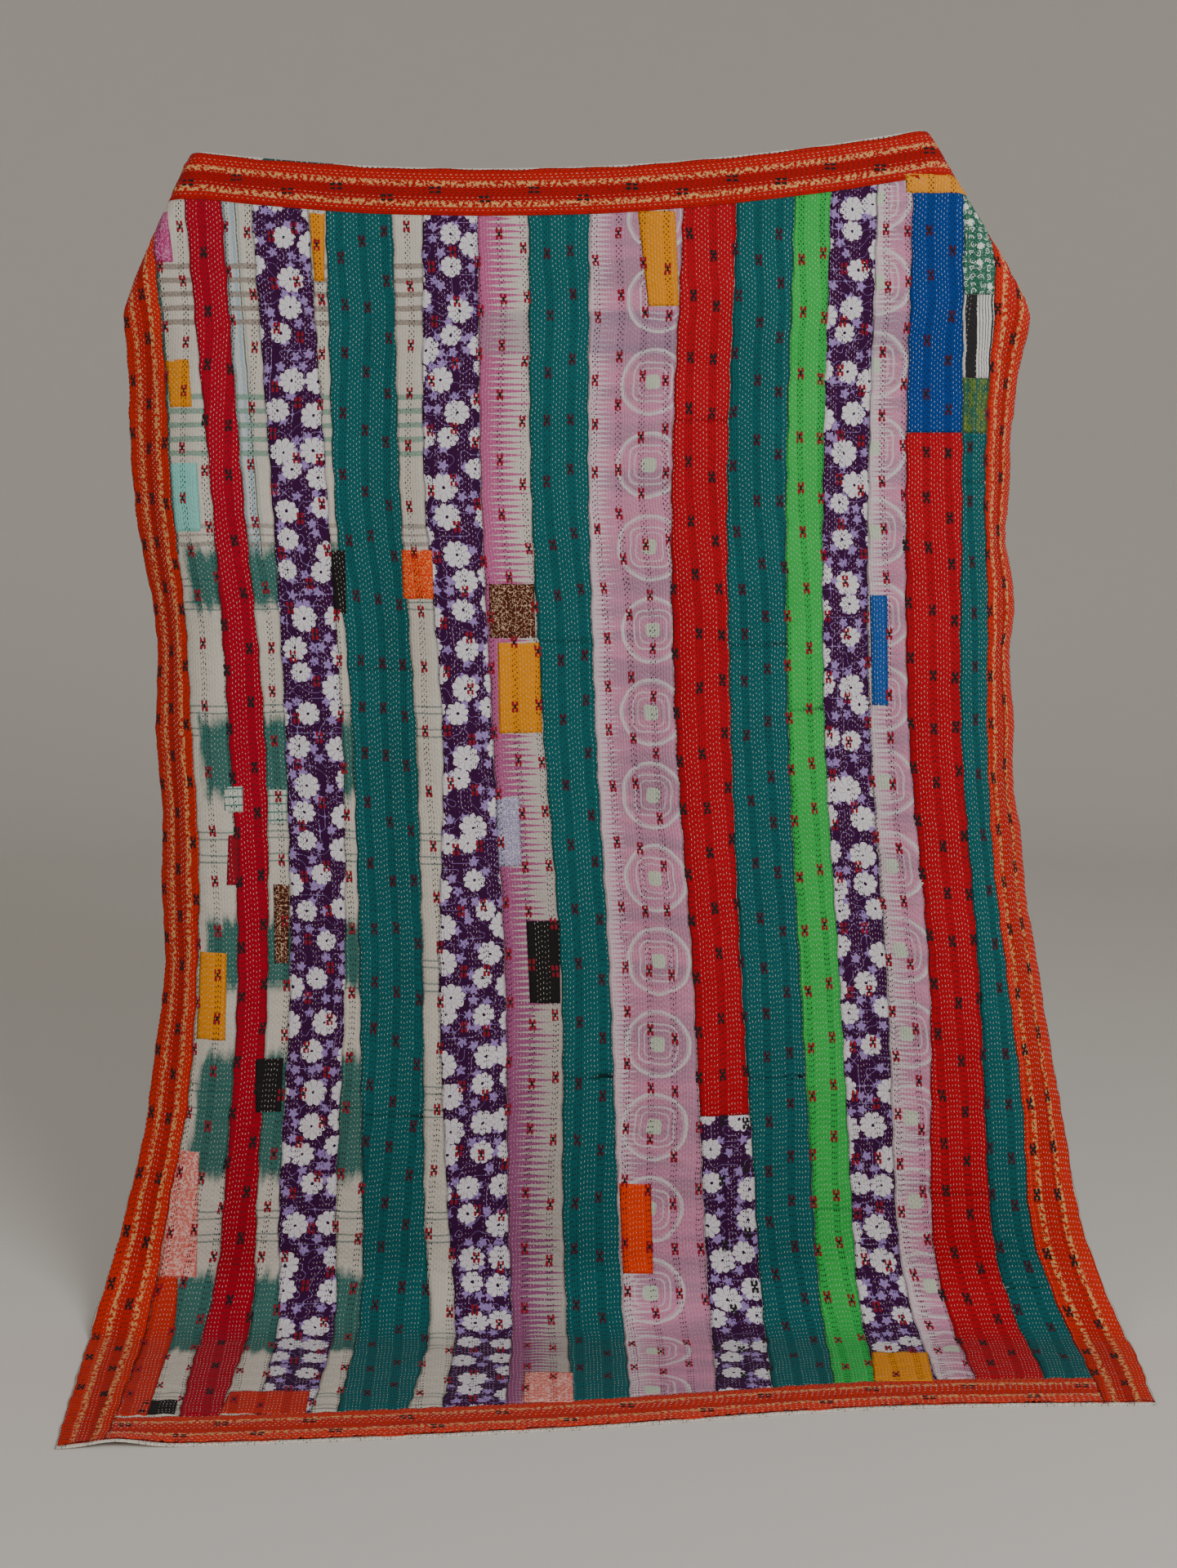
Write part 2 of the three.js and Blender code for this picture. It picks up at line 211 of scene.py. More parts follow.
# %% Seams at every level
LEVEL_STEP = 5.0
LEVELS = np.arange(-80.0, 2260.0, LEVEL_STEP)
side = {name: smooth(SIDES[0], SIDES[i + 1], LEVELS)
        for i, name in enumerate(["left", "left_seam", "right_seam", "right", "left_back", "right_back", "ripple"])}
SEAM_GRID = np.stack([side["left"], side["left_seam"],
                      *(smooth(SEAM_LEVELS, seam, LEVELS) for seam in SEAMS.values()),
                      side["right_seam"], side["right"]])
print("seams:", len(SEAM_GRID), "at", len(LEVELS), "levels")


def look_up(grid, across, level):
    """The grid's value at places between its columns and levels."""
    a = np.clip(across, 0, len(grid) - 1.000001)
    b = np.clip((level - LEVELS[0]) / LEVEL_STEP, 0, len(LEVELS) - 1.000001)
    i, j = a.astype(int), b.astype(int)
    u, v = a - i, b - j
    return ((grid[i, j] * (1 - u) + grid[i + 1, j] * u) * (1 - v)
            + (grid[i, j + 1] * (1 - u) + grid[i + 1, j + 1] * u) * v)


def across_at(x, level):
    """The place across that lies at x on this level."""
    x, level = np.broadcast_arrays(np.asarray(x, float), np.asarray(level, float))
    found = np.zeros(x.shape)
    edges = [look_up(SEAM_GRID, np.full(x.shape, float(k)), level) for k in range(LAST + 2)]
    for k in range(LAST + 1):
        inside = (x - edges[k]) / (edges[k + 1] - edges[k])
        found += np.clip(inside, 0, 1)
    return found


# %% Depth, folds and ends
def depth(x, level):
    """How far the hanging cloth lies behind the plane of the hand-holds."""
    at = {name: np.interp(level, LEVELS, values) for name, values in side.items()}
    left = at["left_back"] * np.maximum(0, 1 - (x - at["left"]) / LEFT_TURN) ** TURN_POWER
    right = at["right_back"] * np.maximum(0, 1 - (at["right"] - x) / RIGHT_TURN) ** TURN_POWER
    phase = 2 * math.pi * x / RIPPLE_LENGTH
    wave = np.sin(phase + RIPPLE_DRIFT * level) + FINE_SHARE * np.sin(FINE_RIPPLES * phase - RIPPLE_DRIFT * level)
    return left + right + np.maximum(0, at["ripple"]) * wave * RIPPLE_SHARE


def roll_back(x, z):
    """Rolls the hanging plane back over the fold of each corner."""
    back = np.zeros_like(x)
    for top, end, outward in FOLDS:
        run = np.subtract(end, top) / math.dist(top, end)
        out = np.array([-run[1], run[0]]) * outward
        past = np.maximum(0, (x - top[0]) * out[0] + (z - top[1]) * out[1] + FOLD_RADIUS)
        turn = np.minimum(math.pi, past / FOLD_RADIUS)
        shift = FOLD_RADIUS * np.sin(turn) - (past - turn * FOLD_RADIUS) - past
        shift = np.where(past > 0, shift, 0)
        x, z, back = x + out[0] * shift, z + out[1] * shift, back + FOLD_RADIUS * (1 - np.cos(turn))
    return x, z, back


def top_level(across):
    """The level of the quilt's top edge, which sags between the hands."""
    x = np.clip(look_up(SEAM_GRID, across, np.zeros_like(across)), HOLD_LEFT, HOLD_RIGHT)
    return -(SAG_MIDDLE + SAG_TILT * x + SAG_CURVE * x * x)


def foot_level(across):
    """The level of its foot, which lies nearer or farther out on the floor."""
    x = look_up(SEAM_GRID, across, np.full_like(across, float(SEAM_LEVELS[-1])))
    return BEND_END + smooth(FOOT[0], FOOT[1], x) - BEND


# %% The draped surface
def surface(across, level):
    """The middle of the ground cloth's thickness, in millimetres."""
    x = look_up(SEAM_GRID, across, level)
    floor = -HANG + GROUND / 2
    hang_x, hang_z, back = roll_back(x, -level)
    turn = (level - BEND_START) / BEND
    pucker = LIFT_HEIGHT * np.exp(-(((x - LIFT_X) / LIFT_WIDTH) ** 2))
    pucker *= np.maximum(0, 1 - (foot_level(across) - level) / LIFT_DEPTH) ** 2
    hanging, bending = level <= BEND_START, level <= BEND_END
    return np.stack([
        np.where(hanging, hang_x, x),
        np.where(hanging, depth(hang_x, -hang_z) + back,
                 np.where(bending, depth(x, level) - BEND * (1 - np.cos(turn)), -BEND - (level - BEND_END))),
        np.where(hanging, hang_z + GROUND / 2,
                 np.where(bending, floor + BEND * (1 - np.sin(turn)), floor + pucker)),
    ], -1)


def outward(across, level, aside=0.02, below=1.0):
    """The way out of the cloth, found from its places a little to each side, above and below."""
    right = surface(across + aside, level) - surface(across - aside, level)
    down = surface(across, level + below) - surface(across, level - below)
    out = np.cross(down, right)
    return out / np.linalg.norm(out, axis=-1, keepdims=True)


middle = np.array([LAST / 2])
print("middle of the foot, in millimetres:", surface(middle, foot_level(middle))[0].round())

# %% [markdown]
# ## Laid flat
# Stitches, stripes and prints belong to the flat cloth, so each point also needs its place on it. The distance
# across is measured along the draped surface, level by level, and stretched to one common width. Rows of
# stitches drawn at an even spacing on this flat sheet then follow every bulge of the hanging one.

# %% Flat coordinates
PARTS = 8       # parts that each sewn piece's width is measured in
FINE = np.linspace(0, LAST + 1, PARTS * (LAST + 1) + 1)
line = surface(*(g.ravel() for g in np.meshgrid(FINE, LEVELS, indexing="ij"))).reshape(len(FINE), len(LEVELS), 3)
step = np.linalg.norm(np.diff(line, axis=0), axis=-1)
FLAT_GRID = np.concatenate([np.zeros((1, len(LEVELS))), np.cumsum(step, 0)])
WIDTH = float(FLAT_GRID[-1][LEVELS > 0].mean())
FLAT_GRID *= WIDTH / FLAT_GRID[-1]
LENGTH = float(np.mean(foot_level(FINE) - top_level(FINE)))
print(f"flat size {WIDTH:.0f} x {LENGTH:.0f} mm")


def flat(across, level):
    """Millimetres in from the left edge of the flat cloth."""
    return look_up(FLAT_GRID, np.asarray(across) * PARTS, level)


def across_of_flat(s, level):
    """The places across at s millimetres from the left edge, on the one level given."""
    column = FLAT_GRID[:, round(float(np.clip((level - LEVELS[0]) / LEVEL_STEP, 0, len(LEVELS) - 1)))]
    return np.interp(s, column, FINE)


# Hand-cut seams waver and the outer edges flutter. That comes last, so the rows of stitches stay calm.
seam_number = np.arange(len(SEAM_GRID))[:, None]
for height, length, shift in ((0.9, 83, 2.4), (0.5, 39, 1.7)):
    SEAM_GRID += height * np.sin(2 * math.pi * LEVELS / length + shift * seam_number)
# edge, height, level of a crest, length, levels between which it comes and goes, and its strength there
FLUTTERS = (
    (-1, 7.0, 681, 195, (380, 560, 1000, 1400), (0, 1, 0.6, 0)),
    (0, 2.8, 500, 260, (300, 500, 1500, 1700), (0, 1, 1, 0)),
)
for edge, height, crest, length, levels, strength in FLUTTERS:
    SEAM_GRID[edge] += height * np.cos(2 * math.pi * (LEVELS - crest) / length) * np.interp(LEVELS, levels, strength)


# %% [markdown]
# ## The relief of the quilting
# Every row of stitches pulls the layers together, so the cloth rises between the dark triple rows, sinks at the
# seams, and crinkles across the rows. These heights are small, a millimetre or so, but they carry the soft
# grain of a real kantha, so they are in the mesh and not only in the shading. A patch adds its own thickness.

# %% Patches and heights, in millimetres
ROW = 4.5               # from one row of stitches to the next
GROUP_ROWS = 8          # rows from one dark triple to the next: three dark, five pale
DARK_START = 10.5       # the middle of the first dark triple, in from the left edge
SPREAD, SPREAD_AT, SPREAD_OVER = 18, 970, 240       # how far the rows stray right of the middle, where, how widely
ROWS = np.array([-3.5, 0, 3.5, 8.3, 13.1, 18.0, 22.9, 27.7])        # the rows of a group: three dark, then pale
GROUP = ROW * GROUP_ROWS
PITCH = 8.2             # from one stitch to the next in a row: by hand it is nearer 5, too fine to show from here
SKIN = 2.1              # top of a sewn piece at its seam, over the middle of the ground cloth
CROWN, ROUND_OVER = 1.0, 5.0    # how far its middle stands over its seams, and the width that the rounding takes
CRINKLE, CHANNEL = 0.45, 0.5    # half the rise of the creases, and of the channels between the dark rows
CREASES, CREASE_DOWN, CREASE_OVER = 14, (11, 34), (28, 120)     # how many waves, and their lengths
PATCH = 0.55            # thickness of a patch
FIRST_ROW = 2.5         # from the edge of a border to its first row

# piece it lies on, finish, left and right at its top, left and right at its foot, top and foot level
PATCHES = [
    ("cream_left", "magenta", -662, -633, -655, -623, 72, 153),
    ("cream_left", "mustard", -637, -598, -628, -592, 305, 380),
    ("cream_left", "aqua", -628, -584, -619, -577, 467, 574),
    ("cream_left", "plaid_scrap", -543, -516, -543, -516, 973, 1014),
    ("cream_left", "crimson_scrap", -537, -522, -540, -521, 1048, 1128),
    ("cream_left", "mustard", -582, -540, -588, -542, 1233, 1371),
    ("cream_left", "salmon", -630, -583, -646, -587, 1546, 1742),
    ("cream_left", "red_scrap", -668, -616, -664, -588, 1740, 2104),
    ("cream_left", "black", -601, -555, -602, -550, 2056, 2100),
    ("cream_plaid", "plaid_scrap", -478, -448, -479, -448, 980, 1036),
    ("cream_plaid", "brown", -470, -444, -468, -446, 1129, 1254),
    ("cream_plaid", "black", -497, -454, -497, -457, 1402, 1486),
    ("cream_plaid", "red_scrap", -486, -372, -489, -368, 2026, 2097),
    ("cream_narrow", "mustard", -412, -387, -403, -388, 75, 182),
    ("cream_narrow", "black", -379, -357, -374, -355, 604, 704),
    ("cream_middle", "orange_print", -266, -217, -263, -215, 603, 680),
    ("mauve", "brown", -130, -59, -128, -57, 656, 741),
    ("mauve", "mustard", -116, -51, -114, -47, 748, 890),
    ("mauve", "lilac", -119, -82, -115, -79, 990, 1099),
    ("mauve", "black", -72, -20, -66, -18, 1185, 1315),
    ("mauve", "salmon", -68, 3, -68, 5, 1964, 2061),
    ("rings_1", "mustard", 103, 162, 120, 168, 72, 221),
    ("rings_1", "orange", 74, 124, 80, 127, 1596, 1736),
    ("purple_3", "mustard", 450, 533, 439, 525, 1896, 1994),
    ("rings_2", "blue_scrap", 469, 496, 473, 498, 674, 848),
    ("blue", "orange_arch", 522, 625, 524, 625, 14, 44),
]


# %% The height of the cloth
def crinkles(s, level):
    """Small creases, longer across the rows than down them."""
    rng = np.random.default_rng(7)
    total = np.zeros_like(s)
    for _ in range(CREASES):
        down = 2 * math.pi / rng.uniform(*CREASE_DOWN)
        over = 2 * math.pi / rng.uniform(*CREASE_OVER) * rng.choice((-1, 1))
        start = rng.uniform(0, 6.3)
        total += np.sin(down * level + over * s + start + 1.3 * np.sin(s / rng.uniform(30, 70)))
    return total / CREASES**0.5


def patch_height(across, level):
    """What the patches add to the cloth's height."""
    x = look_up(SEAM_GRID, across, level)
    height = np.zeros_like(x)
    for _, _, left, right, foot_left, foot_right, top, foot in PATCHES:
        v = (level - top) / (foot - top)
        inside = (v > 0) & (v < 1) & (x > left + (foot_left - left) * v) & (x < right + (foot_right - right) * v)
        height[inside] = PATCH
    return height


def past_triple(s):
    """Distance past the first dark triple in the rows' own measure, as they stray right of the middle."""
    return s - DARK_START - SPREAD * np.exp(-((s - SPREAD_AT) / SPREAD_OVER) ** 2)


def relief(across, level, patched=True):
    """Height of the top of the cloth over the middle of the ground cloth, with or without its patches."""
    k = np.clip(np.floor(across), 0, LAST)
    s = flat(across, level)
    top, foot = level - top_level(across), foot_level(across) - level
    on_side = (across < 1) | (across >= LAST)
    on_top, on_foot = top < TOP_BORDER, (foot < FOOT_BORDER) & ~on_side
    to_side = np.minimum(s - flat(k, level), flat(k + 1, level) - s)
    to_end = np.minimum(top - TOP_BORDER, np.where(on_side, foot, foot - FOOT_BORDER))
    to_seam = np.where(on_top, np.minimum(top, TOP_BORDER - top),
                       np.where(on_foot, np.minimum(foot, FOOT_BORDER - foot), np.minimum(to_side, to_end)))
    raised = CROWN * (1 - np.exp(-np.maximum(0, to_seam) / ROUND_OVER))
    run = np.where(on_top, top - FIRST_ROW, np.where(on_foot, foot - FIRST_ROW, past_triple(s)))
    channel = -CHANNEL * np.cos(2 * math.pi * run / GROUP)
    height = SKIN + raised + channel + CRINKLE * crinkles(s, level)
    return height + patch_height(across, level) if patched else height


sample = relief(*(g.ravel() for g in np.meshgrid(FINE, LEVELS[20:-20])))
print(f"relief {sample.min():.1f} to {sample.max():.1f} mm over the middle of the ground cloth")

# %% [markdown]
# ## Turning places into meshes
# One function makes every sheet. It takes a grid of places on the flat cloth, drapes it, lifts it by the relief,
# and turns its rim down to the ground cloth as a folded edge is turned under. It also writes two UV maps in
# metres: *cloth* for what runs over the whole quilt, and *piece* for a print that follows one strip's edge.


# %% Sheet maker
def link(name, mesh, material=None):
    """A new object for the mesh."""
    made = bpy.data.objects.new(name, mesh)
    SCENE.collection.objects.link(made)
    if material:
        mesh.materials.append(material)
    return made


def sheet(name, across, level, height, rim=None, edge=None, turned=False, facing=1, joins=()):
    """A mesh over a grid of places. edge is each place's distance into its print, from the left seam if not given,
    turned swaps the cloth map over, for a border whose rows run sideways, and joins are levels where lengths meet."""
    rows, columns = across.shape
    out = outward(across, level)
    middle = surface(across, level)
    top = middle + out * (height * facing)[..., None]
    s = flat(across, level)
    if edge is None:
        k = np.clip(np.floor(across[:, columns // 2 : columns // 2 + 1]), 0, LAST)
        edge = s - flat(np.broadcast_to(k, across.shape), level)
    cloth = np.stack([edge, s] if turned else [s, level], -1).reshape(-1, 2) * MM
    piece = np.stack([edge, s if turned else level], -1).reshape(-1, 2) * MM
    # distance to the nearest seam or join, from which the finish paints shade into the seams
    seam = np.minimum(s - s[:, :1], s[:, -1:] - s)
    for join in joins:
        seam = np.minimum(seam, np.abs(level - join))
    seam = seam.ravel()
    points = top.reshape(-1, 3)
    a = (np.arange(rows - 1)[:, None] * columns + np.arange(columns - 1)).ravel()
    quads = np.stack([a, a + columns, a + columns + 1, a + 1][::facing], -1)
    if rim is not None:
        index = np.arange(rows * columns).reshape(rows, columns)
        loop = np.concatenate([index[0, :-1], index[:-1, -1], index[-1, :0:-1], index[:0:-1, 0]])
        low = middle + out * (rim * facing)
        points = np.concatenate([points, low.reshape(-1, 3)[loop]])
        cloth, piece, seam = (np.concatenate([m, m[loop]]) for m in (cloth, piece, seam))
        under = rows * columns + np.arange(len(loop))
        walls = np.stack([loop, np.roll(loop, -1), np.roll(under, -1), under][::facing], -1)
        quads = np.concatenate([quads, walls])
    mesh = bpy.data.meshes.new(name)
    mesh.from_pydata((points * MM).tolist(), [], quads.tolist())
    corner = np.empty(len(mesh.loops), np.int32)
    mesh.loops.foreach_get("vertex_index", corner)
    for map_name, values in (("cloth", cloth), ("piece", piece)):
        mesh.uv_layers.new(name=map_name).data.foreach_set("uv", values[corner].ravel())
    mesh.attributes.new("seam", "FLOAT", "POINT").data.foreach_set("value", seam * MM)
    mesh.shade_smooth()
    return link(name, mesh)


def grid(left, right, top, foot, cell=5.5):
    """Places in rows and columns about one cell apart, between two sides and two ends given as functions."""
    middle = np.array([(left + right) / 2])
    length = float((foot(middle) - top(middle))[0])
    down = np.linspace(0, 1, max(3, round(length / cell) + 1))[:, None]
    measured = np.linspace(100, 2000, 9)        # levels where the width is measured
    widest = float(np.max(flat(right, measured) - flat(left, measured)))
    across = np.linspace(left, right, max(3, round(widest / cell) + 1))[None, :]
    across = np.broadcast_to(across, (len(down), across.shape[1])).copy()
    level = top(across) + (foot(across) - top(across)) * down
    return across, level


# %% [markdown]
# ## What every cloth here shares
# Each layer is a soft worn cotton, and the stitching puckers all of them alike. A node group holds that shared
# finish, so each print only has to give its colour. The group adds faded and slubby places, the shade that lies
# in the seams, and a bump of puckers: a dip along each row, a dent at each stitch, and creases across the rows.
# Real threads are about 0.3 mm apart, too fine to show, so the weave is drawn about four times as coarse.

# %% The quilted finish
WEAVE_PITCH = 1.3                       # the weave as it is drawn, in millimetres
PUCKER = 1.3                            # depth of the bump, in millimetres
DENT, CREASE, WEAVE = 0.22, 1.3, 0.25   # what a stitch's dent, the creases and the weave add to the ridges
WORN, SLUB, EVEN = 0.26, 0.16, 0.80     # how much faded places and slubs lighten the colour, and its value without
SEAM_SHADE, SEAM_REACH = 0.68, 3.5      # painted shade at the seams: how dark it is there, and how far it reaches in millimetres


def place_on(n, uv_map):
    """A place on the flat cloth: metres over it and down it."""
    place = n("SeparateXYZ", n("UVMap", uv_map=uv_map))
    return place.outputs[0], place.outputs[1]


def on_rows(n, over, down):
    """The row that a place is on, and how many stitches along it: every other row is half a stitch later."""
    row = n("Math DIVIDE", over, ROW * MM)
    odd = n("Math MODULO", n("Math ROUND", row), 2.0)
    return row, n("Math ADD", n("Math DIVIDE", down, PITCH * MM), n("Math MULTIPLY", odd, 0.5))


def streaks(n, over, down, detail=2):
    """Soft noise stretched along the threads: how many spots in a metre, over the cloth and down it."""
    place = n("Mapping", n("UVMap", uv_map="cloth"), named={"Scale": (over, down, 1)})
    return n("TexNoise", place, named={"Scale": 1, "Detail": detail})


def quilted_finish():
    """The node group that fades, shades and puckers a colour."""
    tree = bpy.data.node_groups.new("quilted worn cotton", "ShaderNodeTree")
    sockets = (("Colour", "INPUT", "Color"), ("Colour", "OUTPUT", "Color"), ("Normal", "OUTPUT", "Vector"))
    for name, way, kind in sockets:
        tree.interface.new_socket(name, in_out=way, socket_type="NodeSocket" + kind)
    n = partial(add, tree)
    cloth = n("UVMap", uv_map="cloth")
    row, along = on_rows(n, *place_on(n, "cloth"))
    dent = n("Math COSINE", n("Math MULTIPLY", along, 2 * math.pi))
    height = n("Math MULTIPLY_ADD", dent, DENT, n("Math PINGPONG", row, 0.5))
    height = n("Math MULTIPLY_ADD", streaks(n, 45, 170, 3), CREASE, height)
    weave = n("TexNoise", cloth, named={"Scale": 1 / (WEAVE_PITCH * MM), "Detail": 1})
    height = n("Math MULTIPLY_ADD", weave, WEAVE, height)
    bump = n("Bump", named={"Height": height, "Distance": PUCKER * MM, "Strength": 0.9})
    worn = n("TexNoise", cloth, named={"Scale": 9, "Detail": 4})
    value = n("Math MULTIPLY_ADD", streaks(n, 420, 70), SLUB, n("Math MULTIPLY_ADD", worn, WORN, EVEN))
    seam = n("Attribute", attribute_name="seam").outputs["Fac"]
    # painted shade: the colour darkens near each seam and join, down to SEAM_SHADE of itself at the seam
    value = n("Math MULTIPLY", value, n("MapRange", seam, 0, SEAM_REACH * MM, SEAM_SHADE, 1.0))
    shaded = n("HueSaturation", 0.5, 1.0, value, 1.0, n("NodeGroupInput"))
    n("NodeGroupOutput", shaded, bump)
    return tree


QUILTED = quilted_finish()
print("shared finish:", len(QUILTED.nodes), "nodes")


# %% A cotton
def material(name, sockets):
    """A material with one shader: sockets takes the function that adds nodes, and gives the shader's values."""
    made = bpy.data.materials.new(name)
    made.use_nodes = True
    made.node_tree.nodes.clear()
    n = partial(add, made.node_tree)
    n("OutputMaterial", n("BsdfPrincipled", named=sockets(n)))
    return made


def cotton(name, paint, roughness=0.9):
    """A worn cotton, soft and almost without shine: paint is its colour, or a function that draws its print."""
    def sockets(n):
        finish = n("Group", paint if isinstance(paint, str) else paint(n), node_tree=QUILTED)
        return {"Base Color": finish.outputs["Colour"], "Normal": finish.outputs["Normal"],
                "Roughness": roughness, "Sheen Weight": 0.03, "Specular IOR Level": 0.12}
    return material(name, sockets)


# %% [markdown]
# ## Prints and woven patterns
# Each pattern is a rule on the flat cloth, in metres: plaid lines at set levels, ikat teeth whose length wavers,
# a flower in each cell of a Voronoi lattice, rings down the middle of a strip, and two bands of gold thread
# along the borders. So each print has real sizes, and follows its cloth however that hangs.


# %% Woven lines and washes
def lined(n, painted, place, lines):
    """Crosses a cloth with woven lines: middle, half width, colour and strength of each."""
    for middle, half, code, strength in lines:
        inside = n("Math MULTIPLY", n("Math COMPARE", place, middle * MM, half * MM), strength)
        painted = n("Mix RGBA", inside, painted, code)
    return painted


def band(n, place, middle, half, soft):
    """1 inside a band and 0 outside, with soft ends."""
    off = n("Math ABSOLUTE", n("Math SUBTRACT", place, middle * MM))
    return n("MapRange", off, (half + soft) * MM, (half - soft) * MM, 0.0, 1.0, interpolation_type="SMOOTHSTEP")


# middle, half width, colour and strength of each line, in millimetres down the strip or in from its left seam
PLAID = [(159 + 22 * i, 4.3, "#85786F", 0.85) for i in range(5)]
PLAID += [(364 + 22 * i, 4.3, "#6F9080", 0.85) for i in range(5)]
PLAID += [(middle, half, "#857A74", 0.7) for middle, half in ((566, 3.5), (580, 1.6), (594, 3.5))]
PLAID += [(673 + 198 * i + off, 1.4, "#6A7A74", 0.8) for i in range(8) for off in (-24, -13, 12, 23)]
BLUE_STRIPES = [(3, 2.2, "#8399A5", 0.8), (9, 2.0, "#A9BDC8", 0.7), (15.5, 2.6, "#8CA8BC", 0.85),
                (21, 1.2, "#3E5650", 0.85), (25, 1.6, "#8C9C98", 0.6)]
LEFT_EDGE = [(2, 4, "#1F5A54", 0.9)]
STRIPES_END = 610       # level where the blue stripes stop
WAVER, SOAK = 5, 60     # how far the plaid's lines waver, and how unevenly the washes soaked in
WASHES = [(646, 46), (928, 62), (1238, 52), (1490, 95), (1815, 78)]         # middle and half height


def cream(n, wash_from=-10, wash_to=200, wash=0.95, stripes=()):
    """Undyed cotton with a woven plaid, run through with soft washes of green dye."""
    over, down = place_on(n, "piece")
    waver = n("TexNoise", n("UVMap", uv_map="cloth"), named={"Scale": 22})
    level = n("Math MULTIPLY_ADD", waver, WAVER * MM, n("Math SUBTRACT", down, WAVER / 2 * MM))
    undyed, upper = "#C2BBAF", n("Math LESS_THAN", down, STRIPES_END * MM)
    painted = n("Mix RGBA", upper, undyed, lined(n, undyed, over, stripes))
    painted = lined(n, painted, level, PLAID)
    cloud = streaks(n, 90, 14, 3)
    soft = n("Math MULTIPLY_ADD", cloud, SOAK * MM, n("Math SUBTRACT", down, SOAK / 2 * MM))
    dyed = 0.0
    for middle, half in WASHES:
        dyed = n("Math MAXIMUM", band(n, soft, middle, half, 14), dyed)
    # each wash begins at a ragged edge, and may end before the right seam
    ragged = n("Math MULTIPLY_ADD", cloud, 24 * MM, over)
    within = n("MapRange", ragged, (wash_from + 8) * MM, (wash_from + 18) * MM, 0.0, wash)
    short = n("MapRange", over, wash_to * MM, (wash_to - 8) * MM, 0.0, 1.0)
    dyed = n("Math MULTIPLY", n("Math MULTIPLY", dyed, within), short)
    return n("Mix RGBA", dyed, painted, "#1E5E58")


# %% Ikat teeth
def teeth(n, over, down, reach_from, reach_to, spacing):
    """1 left of a comb of teeth: dyed threads that run on from the left seam, each as far as it happens to."""
    tooth = n("Math PINGPONG", n("Math DIVIDE", down, spacing * MM), 0.5)
    uneven = n("Math MULTIPLY_ADD", streaks(n, 10, 130), 1.5, 0.1)
    length = n("Math MULTIPLY", n("Math MULTIPLY", tooth, 2.0), uneven)
    edge = n("Math MULTIPLY_ADD", length, (reach_to - reach_from) * MM, reach_from * MM)
    return n("MapRange", n("Math SUBTRACT", over, edge), -3 * MM, 3 * MM, 1.0, 0.0)


def mauve_ikat(n):
    """Mauve left of grey, parted by a comb of dyed threads, both darker towards the foot."""
    over, down = place_on(n, "piece")
    # both colours get darker and more muted from half a metre down to 1.6 m
    toward_foot = n("MapRange", down, 0.5, 1.6, 0.0, 1.0)
    mauve = n("Mix RGBA", toward_foot, "#B25A86", "#894A72")
    grey = n("Mix RGBA", toward_foot, "#C4BAB3", "#A59D96")
    painted = n("Mix RGBA", teeth(n, over, down, 12, 84, 10.0), grey, mauve)
    # painted shade: a darker band across the strip, about 230 to 298 mm down
    painted_shade_band = n("Math MULTIPLY", band(n, down, 264, 34, 8), 0.5)
    return n("Mix RGBA", painted_shade_band, painted, "#857683")


# %% Rings drawn by hand
def rings(n, centre, first, pitch, lean):
    """Dusty pink cotton with a chain of large rings, each round a squared figure with a pale green heart."""
    shake = 6       # millimetres that the hand strayed, half of it on average
    cloth = n("UVMap", uv_map="cloth")
    shaky = n("TexNoise", cloth, named={"Scale": 30, "Detail": 1})
    shaken = n("VectorMath MULTIPLY_ADD", shaky.outputs[1], (shake * MM, shake * MM, 0), cloth)
    place = n("SeparateXYZ", shaken)
    centre, start = centre + shake / 2, first - pitch / 2 + shake / 2
    x = n("Math MULTIPLY_ADD", place.outputs[1], -lean, n("Math SUBTRACT", place.outputs[0], centre * MM))
    y = n("Math DIVIDE", n("Math SUBTRACT", place.outputs[1], start * MM), pitch * MM)
    y = n("Math MULTIPLY", n("Math SUBTRACT", n("Math FRACT", y), 0.5), pitch * MM)
    radius = n("VectorMath LENGTH", n("CombineXYZ", x, y)).outputs["Value"]
    # a rounded square is a circle of the fourth power, in centimetres so that the powers don't vanish
    fourth = n("Math ADD", *(n("Math POWER", n("Math MULTIPLY", way, 100.0), 4.0) for way in (x, y)))
    square = n("Math MULTIPLY", n("Math POWER", fourth, 0.25), 0.01)
    over, down = place_on(n, "piece")
    painted = n("Mix RGBA", n("MapRange", streaks(n, 4, 26, 3), 0.42, 0.6, 0.0, 0.8), "#C4829F", "#9E788D")
    painted = n("Mix RGBA", n("Math MULTIPLY", teeth(n, over, down, 4, 44, 7.5), 0.7), painted, "#D3C6CB")
    # painted shade: a darker band across the strip, about 228 to 296 mm down
    painted = n("Mix RGBA", n("Math MULTIPLY", band(n, down, 262, 34, 5), 0.6), painted, "#8A7389")
    white, green = "#CFCACB", "#B7C6AF"
    painted = lined(n, painted, radius, [(50.5, 2.6, white, 0.75), (46.0, 0.9, white, 0.35)])
    return lined(n, painted, square, [(31, 1.5, white, 0.6), (22, 1.2, white, 0.5), (0, 11.5, green, 0.85)])


# %% A flower in each cell
def cell_place(n, spacing, spread):
    """Distance and angle from the middle of the nearest cell, and the cell's own random number."""
    shaky = n("TexNoise", n("UVMap", uv_map="cloth"), named={"Scale": 140, "Detail": 1})
    cloth = n("VectorMath MULTIPLY_ADD", shaky.outputs[1], (0.005, 0.005, 0), n("UVMap", uv_map="cloth"))
    cell = n("TexVoronoi", cloth, voronoi_dimensions="2D", named={"Scale": 1 / (spacing * MM), "Randomness": spread})
    offset = n("VectorMath SUBTRACT", cloth, cell.outputs["Position"])
    distance = n("VectorMath LENGTH", offset).outputs["Value"]
    parts, chance = n("SeparateXYZ", offset), n("SeparateXYZ", cell.outputs["Color"])
    angle = n("Math MULTIPLY_ADD", chance.outputs[0], 6.283, n("Math ARCTAN2", parts.outputs[1], parts.outputs[0]))
    return distance, angle, chance.outputs[1]


